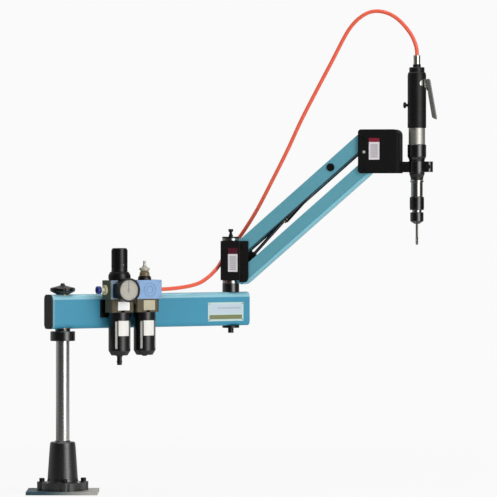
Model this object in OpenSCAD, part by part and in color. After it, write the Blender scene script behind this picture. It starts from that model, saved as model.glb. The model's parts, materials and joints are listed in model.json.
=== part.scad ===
// Arm tapping machine. A column on a base plate carries a swinging lower arm with its air service
// unit, and an elbow block carries a parallelogram arm that keeps an air tapping tool upright.
// Millimetres, +Z up. The origin is on the column's axis at the underside of the base plate.

/* [Pose at rest] */
// Lower arm's turn about the column
arm_yaw = 30; // [0:1:60]
// Upper arm's turn about the elbow, measured from the lower arm's line
elbow_yaw = -43; // [-60:1:0]
// Slope of the parallelogram bars
lift_angle = 41; // [30:1:45]

/* [Stand] */
// Base plate length
plate_x = 178; // [160:1:220]
// Base plate width
plate_y = 140; // [130:1:180]
// Base plate thickness
plate_t = 8; // [6:1:12]
// Spacing along X of the base plate's bench holes
bench_hole_x = 156; // [140:1:190]
// Spacing along Y of the base plate's bench holes
bench_hole_y = 118; // [105:1:150]
// Bench hole diameter
bench_hole_d = 11; // [9:0.5:14]
// Flange body diameter
flange_d = 112; // [104:1:124]
// Flange thickness
flange_t = 20; // [14:1:26]
// Circle of the flange bolts
bolt_circle_d = 104; // [96:1:108]
// Flange bolt thread diameter
bolt_d = 8; // [6:1:10]
// Radius of each bolt lobe on the flange
lobe_r = 12.4; // [11:0.1:14]
// Turn of the bolt lobes from the X axis
lobe_turn = 8; // [0:1:45]
// Socket cone diameter at the flange
cone_low_d = 76; // [70:1:84]
// Socket cone diameter at its top
cone_top_d = 63; // [54:1:66]
// Height of the socket's top above the flange
cone_h = 101; // [80:1:120]
// Column diameter
column_d = 34; // [30:0.5:40]
// Diameter of the column's upper journal
journal_d = 25; // [22:0.5:28]
// Collar outer diameter
collar_d = 62.4; // [56:0.1:70]
// Collar height
collar_h = 24; // [18:1:30]
// Collar screw diameter
collar_screw_d = 6; // [5:1:8]
// Thrust ring outer diameter
thrust_d = 38; // [37:0.5:46]
// Thrust ring height
thrust_h = 5.7; // [4:0.1:12]
// Locking knob diameter
lock_knob_d = 62.6; // [54:0.1:70]
// Height of the locking knob above the arm
lock_knob_h = 27.4; // [26:0.2:36]
// Locking stud diameter
stud_d = 12; // [10:1:16]

/* [Lower arm] */
// Distance from the column's axis to the elbow's axis
arm_reach = 484; // [440:1:540]
// Tube depth, top to bottom
tube_h = 86; // [76:1:92]
// Tube width
tube_w = 40; // [38:1:50]
// Tube wall
tube_wall = 4; // [3:0.5:4]
// Radius of the tube's outer corners
tube_corner = 12; // [6:0.5:12]
// Tube length behind the column's axis
tube_back = 37.5; // [34:0.5:60]
// Tube length beyond the elbow's axis
tube_front = 44.5; // [30:0.5:60]
// Thickness of the end cap outside the tube
end_cap_t = 4.8; // [3:0.1:8]
// Height of the tube's underside above the base plate's underside
tube_z = 411; // [408:0.1:440]
// Bush length in each wall of the arm
bush_h = 28; // [20:1:34]
// Bush outer diameter
bush_d = 31; // [29:0.5:31.5]
// Elbow pin diameter
elbow_pin_d = 20; // [16:1:20]
// Elbow bolt diameter
elbow_bolt_d = 10; // [8:1:12]
// Elbow spacer diameter
spacer_d = 43.4; // [36:0.1:46]
// Elbow spacer height
spacer_h = 21.3; // [18:0.1:34]
// Height of the lower elbow ring
low_ring_h = 8.3; // [5:0.1:9]
// Height of the upper elbow ring
top_ring_h = 6.6; // [4:0.1:9]
// Diameter of the washer under the arm
under_washer_d = 43.6; // [30:0.1:50]
// Grease nipple head diameter
nipple_d = 12.4; // [9:0.2:14]
// Name plate length
name_plate_l = 104; // [80:1:120]
// Name plate height
name_plate_h = 48; // [36:1:56]
// Distance of the name plate's left end from the elbow's axis
name_plate_x = 78.5; // [70:0.5:100]

/* [Air service unit] */
// Distance of the unit's middle plane from the arm's middle plane
unit_y = 54; // [52:0.5:64]
// Distance of the regulator's axis from the column's axis
regulator_x = 132; // [126:1:160]
// Distance between the two bowl axes
bowl_pitch = 71.5; // [70:0.5:84]
// Gap between the two bodies
body_gap = 5; // [4:0.5:8]
// Reach of each body from its bowl's axis to its outer end
body_out = 39; // [36:0.5:42]
// Depth of each body
body_d = 41; // [38:1:44]
// Height of each body's square part
body_h = 47; // [40:1:54]
// Height of the neck under each body
neck_h = 33.5; // [24:0.5:38]
// Height of the bodies' top face above the arm's top
body_rise = 35; // [30:1:46]
// Depth of the air passage below the bodies' top face
port_drop = 24; // [20:1:28]
// Air passage diameter
port_d = 17; // [12:0.5:20]
// Bowl guard diameter
guard_d = 55.2; // [50:0.2:60]
// Bowl guard length
guard_l = 107.5; // [90:0.5:130]
// Bowl guard wall
guard_wall = 2.2; // [1.6:0.1:2.4]
// Width of a sight slot in a guard
slot_w = 6.4; // [4:0.2:10]
// Bowl outer diameter
bowl_d = 47.6; // [44:0.2:49]
// Regulator knob diameter
regulator_knob_d = 41; // [36:0.5:46]
// Regulator knob height
regulator_knob_h = 59; // [48:1:66]
// Bonnet ring diameter
bonnet_d = 54.4; // [48:0.2:56]
// Bonnet ring height
bonnet_h = 21; // [16:1:24]
// Diameter of the spigot that the regulator knob turns on
spigot_d = 29.6; // [26:0.2:32]
// Sight dome diameter
dome_d = 26; // [22:0.5:30]
// Gauge case diameter
gauge_d = 60.3; // [50:0.1:64]
// Gauge case depth
gauge_depth = 26; // [20:1:32]
// Gauge dial diameter
dial_d = 53; // [44:0.2:55]
// Oil screw diameter
oil_screw_d = 7; // [5:0.5:8]
// Gauge stem diameter
gauge_stem_d = 10; // [8:0.5:13]
// Distance of the bracket's plate from the regulator's axis to its free end
bracket_back = 37; // [30:1:50]
// Length of the bracket's plate on the arm
bracket_l = 86; // [80:1:110]
// Height of the bracket's plate on the arm
bracket_h = 44; // [36:1:50]
// Thickness of the bracket's plate
bracket_t = 5; // [4:0.5:8]
// Length of the inlet's stem outside its ring
stem_l = 10.5; // [8:0.5:20]
// Length of the collar on the inlet's stem
collar_l = 9.4; // [6:0.2:12]
// Diameter of the collar on the inlet's stem
inlet_collar_d = 19.6; // [16:0.2:22]
// Hose diameter
hose_d = 10; // [8:0.5:10]

/* [Elbow block] */
// Depth of the block, front to back
block_d = 56; // [54:0.5:64]
// Height of the block
block_h = 100.4; // [92:0.2:100.4]
// Reach of the block behind the elbow's axis
block_back = 21; // [17:0.5:24]
// Reach of the block's solid part in front of the elbow's axis
block_front = 31; // [29:0.5:33]
// Corner radius of the block
block_corner = 3; // [1:0.5:6]
// Reach of the cheeks beyond the pivots
cheek_reach = 15.5; // [12:0.5:18]
// Distance of the bar pivots from the elbow's axis
pivot_x = 35.5; // [35.5:0.1:42]
// Height of the lower pivot above the block's underside
pivot_rise = 8; // [6:0.5:12]
// Height between the two pivots
pivot_gap = 78; // [76:0.5:82]
// Pivot pin diameter
pivot_pin_d = 12; // [10:0.5:14]
// Gap between the cheeks that the bars turn in
cheek_gap = 39.2; // [39:0.1:42]
// Cheek thickness
cheek_t = 5.4; // [4:0.1:7]

/* [Parallelogram bars] */
// Bar length between pivots
bar_l = 420; // [380:1:460]
// Bar depth
bar_h = 37; // [32:0.5:37]
// Bar width
bar_w = 38; // [34:0.5:38]
// Bar wall
bar_wall = 3; // [2:0.25:4]
// Pivot bush outer diameter
pivot_bush_d = 18; // [16:0.5:22]
// Distance of the strut's bolt along the upper bar
strut_bolt_x = 306; // [290:1:330]
// Strut bolt diameter
strut_bolt_d = 8; // [6:0.5:10]
// Gas strut cylinder diameter
strut_d = 20; // [18:0.5:22]
// Gas strut rod diameter
rod_d = 8; // [6:0.5:10]
// Length of the rod outside the cylinder, with its eye
rod_out = 118; // [100:1:140]
// Strut pin diameter
eye_pin_d = 6; // [5:0.5:8]

/* [Head] */
// Head box length
head_l = 106.5; // [96:0.5:112]
// Head box height
head_h = 111.5; // [104:0.5:116]
// Head box depth
head_d = 56; // [54:0.5:64]
// Reach of the head box behind its pivots
head_back = 15; // [11:0.5:18]
// Depth of the head box below its lower pivot
head_drop = 10.5; // [5:0.5:14]
// Radius of the head box's large corner
head_round = 18; // [10:1:26]
// Radius of the head box's other corners
head_corner = 8; // [4:0.5:10]
// Wall of the head box
head_wall = 5.5; // [4:0.25:6]
// Distance from the head's pivots to the tool's axis
tool_reach = 131.8; // [124:0.2:150]
// Clamp ring diameter
clamp_d = 43; // [40:0.5:50]
// Clamp ring height
clamp_h = 28; // [22:0.5:29]
// Reach of the clamp's lug from the tool's axis
lug_l = 41; // [38:0.5:46]
// Width of the clamp's lug
lug_w = 26; // [22:0.5:30]
// Diameter of the tool's seat in the clamp
seat_d = 34; // [30:0.5:36]
// Clamp screw diameter
clamp_screw_d = 6; // [5:0.5:8]

/* [Air tool] */
// Motor handle diameter
handle_d = 47.2; // [43:0.2:50]
// Motor handle length
handle_l = 140.8; // [120:0.2:160]
// Exhaust band diameter
band_d = 42; // [38:0.5:46]
// Exhaust band height
band_h = 42.4; // [34:0.2:50]
// Gear housing diameter
gear_d = 47.8; // [44:0.2:50]
// Nosepiece diameter under the clamp
nose_d = 39.4; // [36:0.2:42]
// Bore of the motor's space in the handle and the band
motor_d = 30; // [26:0.5:34]
// Spindle diameter
spindle_d = 16; // [12:0.5:18]
// Chuck shank diameter
shank_d = 30; // [26:0.2:32]
// Chuck core diameter
core_d = 24; // [20:0.5:25]
// Chuck sleeve diameter
sleeve_d = 36; // [33:0.2:39]
// Chuck sleeve length
sleeve_l = 34; // [28:0.5:36]
// Collet diameter
collet_d = 34; // [30:0.5:35]
// Tap shank diameter
tap_d = 6.2; // [4:0.1:8]
// Tap length below the collet
tap_l = 53; // [40:1:64]
// Length of the tap's shank in the collet
tap_grip = 14; // [10:1:20]
// Throttle lever width
lever_w = 15; // [14:0.5:18]
// Throttle lever length below its pin
lever_l = 100; // [80:1:106]
// Throttle lever's sheet thickness
lever_t = 1.5; // [1:0.1:2]
// Lean of the throttle lever away from the handle
lever_lean = 10; // [9:0.5:14]
// Throttle lever pin diameter
lever_pin_d = 4; // [3:0.5:6]
// Reverse button diameter
button_d = 16; // [11:0.5:18]
// Reverse button stem diameter
stem_d = 7.5; // [5:0.5:9]

/* [Fits] */
// Radial clearance of a turning or sliding fit
run_fit = 0.05; // [0.02:0.01:0.1]
// Radial clearance of a fixed seat
seat_fit = 0.02; // [0:0.01:0.05]
// Radial clearance of the strut's rod eye on its pin
eye_play = 3.2; // [3:0.1:4]
// Radial clearance of the hose in a fitting
hose_fit = 0.1; // [0.05:0.05:0.3]
// Gap between faces that turn past each other
face_gap = 0.4; // [0.3:0.1:0.8]

/* [Hidden] */
$fn = 96;
e = 0.01;
flange_top = plate_t + flange_t;
cone_top = flange_top + cone_h;
column_r = column_d / 2;
column_top = tube_z - 0.6;
thrust_gap = 0.3;
collar_z = tube_z - thrust_gap - thrust_h - collar_h;
collar_screw_r = collar_screw_d / 2;
collar_screw_x = column_r + 7;
journal_r = journal_d / 2;
stud_r = stud_d / 2;
bush_r = bush_d / 2;
tube_top = tube_z + tube_h;
inner_corner = tube_corner - tube_wall;
tube_end = arm_reach + tube_front;
pin_r = elbow_pin_d / 2;
elbow_bolt_r = elbow_bolt_d / 2;
low_ring_z = tube_top + spacer_h;
block_z = low_ring_z + low_ring_h + face_gap;
block_top = block_z + block_h;
top_ring_z = block_top + face_gap;
elbow_top = top_ring_z + top_ring_h;
disc_t = 3.6;
nipple_r = nipple_d / 4;
lubricator_x = regulator_x + bowl_pitch;
body_top = tube_top + body_rise;
body_z = body_top - body_h;
neck_z = body_z - neck_h;
unit_front = -unit_y - body_d / 2;
unit_back = -unit_y + body_d / 2;
body_in = (bowl_pitch - body_gap) / 2;
bowl_seat_r = 19;
inlet_x = regulator_x - body_out;
outlet_x = lubricator_x + body_out;
inlet_ring_t = 5;
inlet_ring_r = 12.4;
inlet_stem_r = 6.6;
stem_end = inlet_x - inlet_ring_t - stem_l;
port_z = body_top - port_drop;
spigot_r = spigot_d / 2;
spigot_h = 22;
dome_ring_h = 10;
dome_seat = 3;
oil_screw_r = oil_screw_d / 2;
gauge_stem_r = gauge_stem_d / 2;
dial_y = unit_front - gauge_depth - 0.5;
dial_pin_r = 1.5;
guard_r = guard_d / 2;
slot_low = 16;
bowl_r = bowl_d / 2;
port_r = port_d / 2;
hose_r = hose_d / 2;
hose_bore_r = hose_r + hose_fit;
low_pivot_z = block_z + pivot_rise;
pivot_z = low_pivot_z + pivot_gap;
pivot_r = pivot_pin_d / 2;
bar_r = bar_h / 2;
half_gap = cheek_gap / 2;
// Strut end on the block, and its bolt on the upper bar, measured from the upper pivot
eye_x = 23;
eye_z = -22;
bolt_z = 2;
gx = strut_bolt_x * cos(lift_angle) - bolt_z * sin(lift_angle);
gz = strut_bolt_x * sin(lift_angle) + bolt_z * cos(lift_angle);
strut_l = norm([gx - eye_x, gz - eye_z]);
strut_a = atan2(gz - eye_z, gx - eye_x);
strut_r = strut_d / 2;
rod_r = rod_d / 2;
eye_pin_r = eye_pin_d / 2;
// Slot that the bars turn in, and the two lugs that hold the strut's pin
bar_slot_x = 16;
lug_r = 7.5;
lug_t = 3;
lug_y = 7.25;
pin_end = lug_y + lug_t / 2;
mouth_x = strut_l - rod_out - 5;
rod_in = 46;
bolt_r = strut_bolt_d / 2;
// Head box corner, in the upper arm's frame
head_pivot_x = pivot_x + bar_l * cos(lift_angle);
rise = bar_l * sin(lift_angle);
head_x = head_pivot_x - head_back;
head_z = low_pivot_z + rise - head_drop;
tool_x = head_pivot_x + tool_reach;
clamp_z = head_z + 2.5;
clamp_top = clamp_z + clamp_h;
lug_back = 12;
clamp_slit = 2.4;
clamp_screw_x = 31;
clamp_screw_z = clamp_z + clamp_h / 2;
clamp_screw_r = clamp_screw_d / 2;
head_screw_x = head_pivot_x + 0.8;
head_screw_z = head_z + head_h / 2 - 1.7;
head_screw_r = 2;
seat_r = seat_d / 2;
gear_z = clamp_top + 14.3;
band_z = gear_z + 28;
handle_z = band_z + band_h;
handle_top = handle_z + handle_l;
cap_h = 12.6;
cap_top = handle_top + cap_h + 7.6;
motor_r = motor_d / 2;
fitting_stem_r = 5.6;
fitting_r = 8.6;
fitting_l = 22.8;
nose_z = clamp_z - 20.2;
flange_l = 5;
spindle_r = spindle_d / 2;
spindle_l = 34;
shank_z = nose_z - 41;
core_r = core_d / 2;
sleeve_z = shank_z - face_gap - sleeve_l;
collet_z = sleeve_z - 5.6;
collet_l = 29.2;
tap_r = tap_d / 2;
tip_z = collet_z - collet_l - tap_l;
handle_r = handle_d / 2;
lever_x = handle_r + 4.6;
lever_z = handle_top - 22;
lever_pin_r = lever_pin_d / 2;
lever_hub_r = 3.2;
ear_r = 3.8;
ear_t = 2;
ear_y = lever_w / 2 - lever_t - face_gap - ear_t / 2;
strap_t = 1.8;
button_z = handle_z + 57.5;
button_travel = 4;
stem_r = stem_d / 2;
// Points that the hose follows, and the one where its lower piece ends
hose_route = [[234.8, 73.2, 508], [248, 80.8, 508], [262, 90, 508.4], [288, 114, 510.5],
  [316, 145, 514.5], [340, 175, 521.5], [360, 203, 534], [375, 226, 547.5], [387, 248, 561.5],
  [396.3, 270.4, 577], [408.2, 285.6, 596], [429, 289, 620], [452.5, 283, 652], [486, 268, 706],
  [526, 252, 783], [564.5, 238, 860], [600, 226, 937], [639, 214, 1013], [679, 200, 1089],
  [705, 190, 1140], [723, 184, 1170], [743, 176, 1192], [768, 168, 1208], [793, 160, 1212],
  [819, 152, 1206], [841, 146, 1193], [861, 141, 1173], [878, 136.5, 1149], [887.5, 134, 1127],
  [891.02, 133.06, 1110], [891.02, 133.06, 1100], [891.02, 133.06, 1090]];
hose_split = 10;

module in_arm() rotate([0, 0, arm_yaw]) children();
module in_link() in_arm() translate([arm_reach, 0, 0]) rotate([0, 0, elbow_yaw]) children();
module at_bar(z) in_link() translate([pivot_x, 0, z]) rotate([0, -lift_angle, 0]) children();
module at_tool() in_link() translate([tool_x, 0, 0]) children();

module tube_ring(r, bore, z, h) {
  translate([0, 0, z]) difference() {
    cylinder(r = r, h = h);
    translate([0, 0, -1]) cylinder(r = bore, h = h + 2);
  }
}

// Rounded rectangle from -x/2 to x/2 and -y/2 to y/2
module rounded(x, y, r) {
  square([x - 2 * r, y], center = true);
  square([x, y - 2 * r], center = true);
  for (i = [-1, 1]) {
    for (j = [-1, 1]) {
      translate([i * (x / 2 - r), j * (y / 2 - r)]) circle(r = r);
    }
  }
}

// Cylinder along Y from y0 to y1 at x, z
module across(x, z, r, y0, y1) {
  translate([x, y1, z]) rotate([90, 0, 0]) cylinder(r = r, h = y1 - y0);
}

// Cylinder along X from x0 to x1 at y, z
module along(x0, x1, y, z, r) {
  translate([x0, y, z]) rotate([0, 90, 0]) cylinder(r = r, h = x1 - x0);
}

/* ---- stand ---- */

module base_plate() {
  color([0.62, 0.68, 0.72]) difference() {
    translate([-plate_x / 2, -plate_y / 2, 0]) cube([plate_x, plate_y, plate_t]);
    for (i = [-1, 1]) {
      for (j = [-1, 1]) {
        translate([i * bench_hole_x / 2, j * bench_hole_y / 2, -1])
          cylinder(d = bench_hole_d, h = plate_t + 2);
      }
    }
    for (i = [0:3]) {
      rotate([0, 0, lobe_turn + i * 90]) translate([bolt_circle_d / 2, 0, -1])
        cylinder(r = bolt_d / 2 + seat_fit, h = plate_t + 2);
    }
  }
}

module column_socket() {
  color([0.10, 0.10, 0.11]) difference() {
    union() {
      translate([0, 0, plate_t]) cylinder(d = flange_d, h = flange_t);
      for (i = [0:3]) {
        rotate([0, 0, lobe_turn + i * 90]) translate([bolt_circle_d / 2, 0, plate_t])
          cylinder(r = lobe_r, h = flange_t + 2);
      }
      rotate_extrude() polygon([[0, flange_top - 5], [cone_low_d / 2 + 7, flange_top - 5],
        [cone_low_d / 2 + 7, flange_top], [cone_low_d / 2 + 1.5, flange_top + 2.5],
        [cone_low_d / 2, flange_top + 8], [cone_top_d / 2 + 1.2, cone_top - 16],
        [cone_top_d / 2, cone_top - 3], [cone_top_d / 2 - 2.5, cone_top],
        [column_r + 3.5, cone_top + 0.8], [column_r + 1.6, cone_top + 3], [0, cone_top + 3]]);
    }
    translate([0, 0, plate_t - 1]) cylinder(r = column_r + seat_fit, h = flange_t + cone_h + 9);
    for (i = [0:3]) {
      rotate([0, 0, lobe_turn + i * 90]) translate([bolt_circle_d / 2, 0, 1])
        cylinder(r = bolt_d / 2 + 0.5, h = flange_t + 30);
    }
  }
}

module stand_screws() {
  color([0.13, 0.13, 0.14]) {
    for (i = [0:3]) {
      rotate([0, 0, lobe_turn + i * 90]) translate([bolt_circle_d / 2, 0, flange_top + 2])
        difference() {
          union() {
            cylinder(d = bolt_d * 1.7, h = 8.6);
            translate([0, 0, -flange_t - plate_t + 1]) cylinder(d = bolt_d, h = flange_t + plate_t);
          }
          translate([0, 0, 4.4]) cylinder(r = bolt_d * 0.44, h = 9, $fn = 6);
        }
    }
    rotate([0, 0, 60]) translate([collar_screw_x, 0, collar_z + collar_h / 2]) {
      across(0, 0, collar_screw_r, -9, 14);
      difference() {
        across(0, 0, collar_screw_r + 2, -14, -8.5);
        across(0, 0, collar_screw_r - 0.4, -15, -11);
      }
    }
  }
}

module column() {
  color([0.80, 0.81, 0.83]) {
    translate([0, 0, plate_t]) cylinder(r = column_r, h = column_top - plate_t);
    translate([0, 0, column_top - e]) cylinder(r = journal_r, h = tube_top - column_top - 0.5);
    translate([0, 0, tube_top - 1]) cylinder(r = stud_r, h = 21);
  }
}

module column_collar() {
  r = collar_d / 2;
  z0 = collar_z;
  z1 = collar_z + collar_h;
  color([0.09, 0.09, 0.10]) difference() {
    rotate_extrude() polygon([[0, z0], [r - 1.2, z0], [r, z0 + 1.2], [r, z1 - 1.2], [r - 1.2, z1],
      [0, z1]]);
    translate([0, 0, z0 - 1]) cylinder(r = column_r + seat_fit, h = collar_h + 2);
    rotate([0, 0, 60]) {
      translate([0, -1.25, z0 - 1]) cube([60, 2.5, collar_h + 2]);
      across(collar_screw_x, (z0 + z1) / 2, collar_screw_r + run_fit, -60, 60);
      across(collar_screw_x, (z0 + z1) / 2, collar_screw_r + 2.6, -60, -8.5 + e);
    }
  }
}

module thrust_ring() {
  color([0.16, 0.16, 0.17])
    tube_ring(thrust_d / 2, column_r + seat_fit, collar_z + collar_h, thrust_h);
}

module lock_knob() {
  z0 = tube_top + 0.6;
  z1 = z0 + lock_knob_h;
  r = lock_knob_d / 2;
  color([0.09, 0.09, 0.10]) difference() {
    rotate_extrude() polygon([[0, z0], [17.5, z0], [18.5, z0 + 1], [r - 2, z1 - 20.9],
      [r, z1 - 18.9], [r, z1 - 13.4], [r - 2, z1 - 11.2], [14, z1 - 7.4], [6, z1 - 5],
      [5.4, z1 - 2.4], [3.6, z1], [0, z1]]);
    translate([0, 0, z0 - 1]) cylinder(r = stud_r + run_fit, h = 22);
    for (i = [0:7]) {
      rotate([0, 0, i * 45 + 12]) translate([r + 3.4, 0, z0 - 1]) cylinder(r = 5, h = 40);
    }
  }
}

/* ---- lower arm ---- */

module arm_tube() {
  color([0.28, 0.57, 0.69]) in_arm() difference() {
    translate([-tube_back, 0, tube_z + tube_h / 2]) rotate([90, 0, 90])
      linear_extrude(tube_end + tube_back) difference() {
        rounded(tube_w, tube_h, tube_corner);
        rounded(tube_w - 2 * tube_wall, tube_h - 2 * tube_wall, inner_corner);
      }
    translate([0, 0, tube_z - 1]) cylinder(r = bush_r + seat_fit, h = tube_h + 2);
    translate([arm_reach, 0, tube_z - 1]) cylinder(r = pin_r + seat_fit, h = tube_h + 2);
  }
}

module end_caps() {
  inside_w = tube_w - 2 * tube_wall - 0.2;
  inside_h = tube_h - 2 * tube_wall - 0.2;
  plug_l = 13;
  color([0.10, 0.10, 0.11]) in_arm() {
    translate([-tube_back - end_cap_t, 0, tube_z + tube_h / 2]) rotate([90, 0, 90])
      linear_extrude(end_cap_t) rounded(tube_w, tube_h, tube_corner);
    translate([-tube_back - e, 0, tube_z + tube_h / 2]) rotate([90, 0, 90])
      linear_extrude(plug_l) difference() {
        rounded(inside_w, inside_h, inner_corner);
        rounded(inside_w - 5, inside_h - 5, inner_corner - 2.5);
      }
    translate([tube_end - plug_l - 0.5, 0, tube_z + tube_h / 2]) rotate([90, 0, 90])
      linear_extrude(plug_l) rounded(inside_w, inside_h, inner_corner);
  }
}

module arm_bushes() {
  color([0.70, 0.55, 0.30]) {
    tube_ring(bush_r, journal_r + run_fit, tube_z, bush_h);
    tube_ring(bush_r, journal_r + run_fit, tube_top - bush_h, bush_h);
  }
}

module elbow_pin() {
  color([0.66, 0.67, 0.69]) in_arm() translate([arm_reach, 0, 0]) difference() {
    translate([0, 0, tube_z]) cylinder(r = pin_r, h = elbow_top - tube_z);
    translate([0, 0, tube_z - 1]) cylinder(r = elbow_bolt_r + seat_fit, h = 35);
    translate([0, 0, elbow_top - 12]) cylinder(r = nipple_r + seat_fit, h = 13);
  }
}

module elbow_spacer() {
  color([0.07, 0.07, 0.08]) in_arm() translate([arm_reach, 0, 0])
    tube_ring(spacer_d / 2, pin_r + seat_fit, tube_top, spacer_h);
}

module elbow_rings() {
  color([0.80, 0.80, 0.81]) in_arm() translate([arm_reach, 0, 0]) {
    tube_ring(spacer_d / 2 - 0.4, pin_r + seat_fit, low_ring_z, low_ring_h);
    tube_ring(spacer_d / 2 + 0.4, pin_r + seat_fit, top_ring_z, top_ring_h);
  }
}

module elbow_fasteners() {
  color([0.09, 0.09, 0.10]) in_arm() translate([arm_reach, 0, 0]) {
    tube_ring(under_washer_d / 2, elbow_bolt_r + seat_fit, tube_z - 6, 6);
    difference() {
      translate([0, 0, tube_z - 19]) cylinder(r = elbow_bolt_r + 2.2, h = 13);
      translate([0, 0, tube_z - 20]) cylinder(r = elbow_bolt_r - 0.6, h = 7, $fn = 6);
    }
    translate([0, 0, tube_z - 7]) cylinder(r = elbow_bolt_r, h = 36);
    tube_ring(spacer_d / 2 + 0.6, nipple_r + seat_fit, elbow_top, disc_t);
  }
}

module grease_nipple() {
  z0 = elbow_top + disc_t;
  r = nipple_d / 2;
  color([0.22, 0.21, 0.20]) in_arm() translate([arm_reach, 0, z0]) {
    cylinder(r = r, h = 4.4, $fn = 6);
    translate([0, 0, 4.4 - e]) cylinder(r1 = r * 0.85, r2 = r * 0.58, h = 3);
    translate([0, 0, 6]) cylinder(r = r * 0.58, h = 7);
    translate([0, 0, 11.8]) cylinder(r1 = r * 0.6, r2 = r, h = 1.8);
    translate([0, 0, 13.6 - e]) cylinder(r = r, h = 6);
    translate([0, 0, -10]) cylinder(r = nipple_r, h = 11);
  }
}

module name_plate() {
  color([0.80, 0.86, 0.88]) in_arm()
    translate([arm_reach - name_plate_x, -tube_w / 2 - 0.8, tube_z + tube_corner])
    cube([name_plate_l, 0.8, name_plate_h]);
}

/* ---- air service unit ---- */

module unit_bracket() {
  x0 = regulator_x - bracket_back;
  z0 = body_z - bracket_h - 3;
  web_t = body_gap - 0.6;
  web_x = (regulator_x + lubricator_x - web_t) / 2;
  web_z = neck_z + 21.5;
  plate_y0 = tube_w / 2 + bracket_t;
  shelf_in = 12;
  shelf_h = 23;
  color([0.08, 0.08, 0.09]) in_arm() {
    difference() {
      translate([x0, -plate_y0, z0]) cube([bracket_l, bracket_t, bracket_h]);
      for (i = [0, 1]) {
        across(x0 + 5, z0 + 7 + i * (bracket_h - 14), 2.6, -60, 0);
      }
    }
    translate([x0 + shelf_in, unit_back, body_z - shelf_h - 3])
      cube([bracket_l - 2 * shelf_in, -unit_back - plate_y0 + e, shelf_h]);
    translate([web_x, unit_front + 3.5, web_z])
      cube([web_t, body_d - 3.5 + e, body_top - 7 - web_z]);
    translate([web_x, unit_back - e, web_z]) cube([web_t, -unit_back - tube_w / 2, 9]);
  }
}

// Body round a bowl's axis at x, with its outer end to the left (side = -1) or right (side = 1)
module unit_body(x, side) {
  long = body_in + body_out;
  mid = side * (body_out - body_in) / 2;
  neck_w = 2 * body_in - 1;
  translate([x + mid, -unit_y, body_z]) linear_extrude(body_h) rounded(long, body_d, 3);
  translate([x, -unit_y, neck_z]) linear_extrude(neck_h + e) rounded(neck_w, body_d - 4, 6);
}

// Seat of a bowl in the neck of a body at x
module bowl_seat(x) {
  translate([x, -unit_y, neck_z - 1]) cylinder(r = bowl_seat_r, h = neck_h - 4);
}

module regulator_body() {
  color([0.42, 0.43, 0.38]) in_arm() difference() {
    unit_body(regulator_x, -1);
    along(inlet_x - 1, regulator_x + body_in + 1, -unit_y, port_z, port_r);
    bowl_seat(regulator_x);
    across(regulator_x, port_z, gauge_stem_r + seat_fit, -unit_y - body_d, -unit_y);
  }
}

module lubricator_body() {
  color([0.45, 0.55, 0.72]) in_arm() difference() {
    unit_body(lubricator_x, 1);
    along(lubricator_x - body_in - 1, outlet_x + 1, -unit_y, port_z, port_r);
    bowl_seat(lubricator_x);
  }
}

module unit_rings() {
  r = bonnet_d / 2;
  dome_r = dome_d / 2;
  color([0.08, 0.08, 0.09]) in_arm() {
    translate([regulator_x, -unit_y, body_top]) {
      rotate_extrude() polygon([[0, 0], [r - 1, 0], [r, 1.5], [r, bonnet_h - 7],
        [r - 4, bonnet_h], [0, bonnet_h]]);
      cylinder(r = spigot_r, h = bonnet_h + spigot_h);
    }
    translate([lubricator_x, -unit_y, body_top]) difference() {
      rotate_extrude() polygon([[0, 0], [dome_r + 3.8, 0], [dome_r + 3.8, dome_ring_h / 2],
        [dome_r + 1.6, dome_ring_h], [0, dome_ring_h]]);
      translate([0, 0, dome_seat]) cylinder(r = dome_r + seat_fit, h = dome_ring_h);
    }
  }
}

module guard(x) {
  r = guard_r;
  w = guard_wall;
  translate([x, -unit_y, neck_z - guard_l]) difference() {
    rotate_extrude() polygon([[9, 0], [r - 7, 0], [r, 12], [r, guard_l], [r - w, guard_l],
      [r - w, 12.8], [r - 7.6, w], [9, w]]);
    for (i = [0:3]) {
      rotate([0, 0, 45 + i * 90]) translate([0, -slot_w / 2, slot_low])
        cube([r + 5, slot_w, guard_l - slot_low - 21.5]);
    }
  }
}

module bowl_guards() {
  color([0.10, 0.10, 0.11]) in_arm() {
    guard(regulator_x);
    guard(lubricator_x);
  }
}

module bowl(x) {
  r = bowl_r;
  translate([x, -unit_y, neck_z - guard_l + 4]) rotate_extrude()
    polygon([[6.3, 0], [r - 8, 0], [r, 12], [r, guard_l - 4.1], [r - 2.4, guard_l - 4.1],
      [r - 2.4, 13.2], [r - 9, 2.4], [6.3, 2.4]]);
}

module air_bowls() {
  color([0.86, 0.87, 0.84, 0.7]) in_arm() {
    bowl(regulator_x);
    bowl(lubricator_x);
  }
}

module drain_valves() {
  z0 = neck_z - guard_l;
  color([0.14, 0.14, 0.15]) in_arm() {
    translate([regulator_x, -unit_y, z0 - 24.5]) {
      cylinder(r = 6.2, h = 38.5);
      translate([0, 0, 6.4]) cylinder(r = 9.4, h = 4);
    }
    translate([lubricator_x, -unit_y, z0 - 3]) cylinder(r = 6.2, h = 17);
  }
}

module sight_dome() {
  r = dome_d / 2;
  color([0.92, 0.93, 0.90, 0.8]) in_arm()
    translate([lubricator_x, -unit_y, body_top + dome_seat]) difference() {
      rotate_extrude() polygon([[0, 0], [r, 0], [r, 12], [r - 1, 16.4], [r - 3, 19.6],
        [r - 3, 20.4], [r - 0.6, 21], [r - 0.6, 27], [r - 2, 28], [r - 6, 28.6], [r - 6, 31],
        [0, 31]]);
      translate([0, 0, 8]) cylinder(r = oil_screw_r + run_fit, h = 40);
    }
}

module oil_screw() {
  color([0.75, 0.73, 0.66]) in_arm()
    translate([lubricator_x, -unit_y, body_top + dome_seat + 15]) {
      cylinder(r = oil_screw_r, h = 30);
      translate([0, 0, 17]) cylinder(r1 = oil_screw_r + 1.2, r2 = oil_screw_r - 0.4, h = 5);
    }
}

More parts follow.
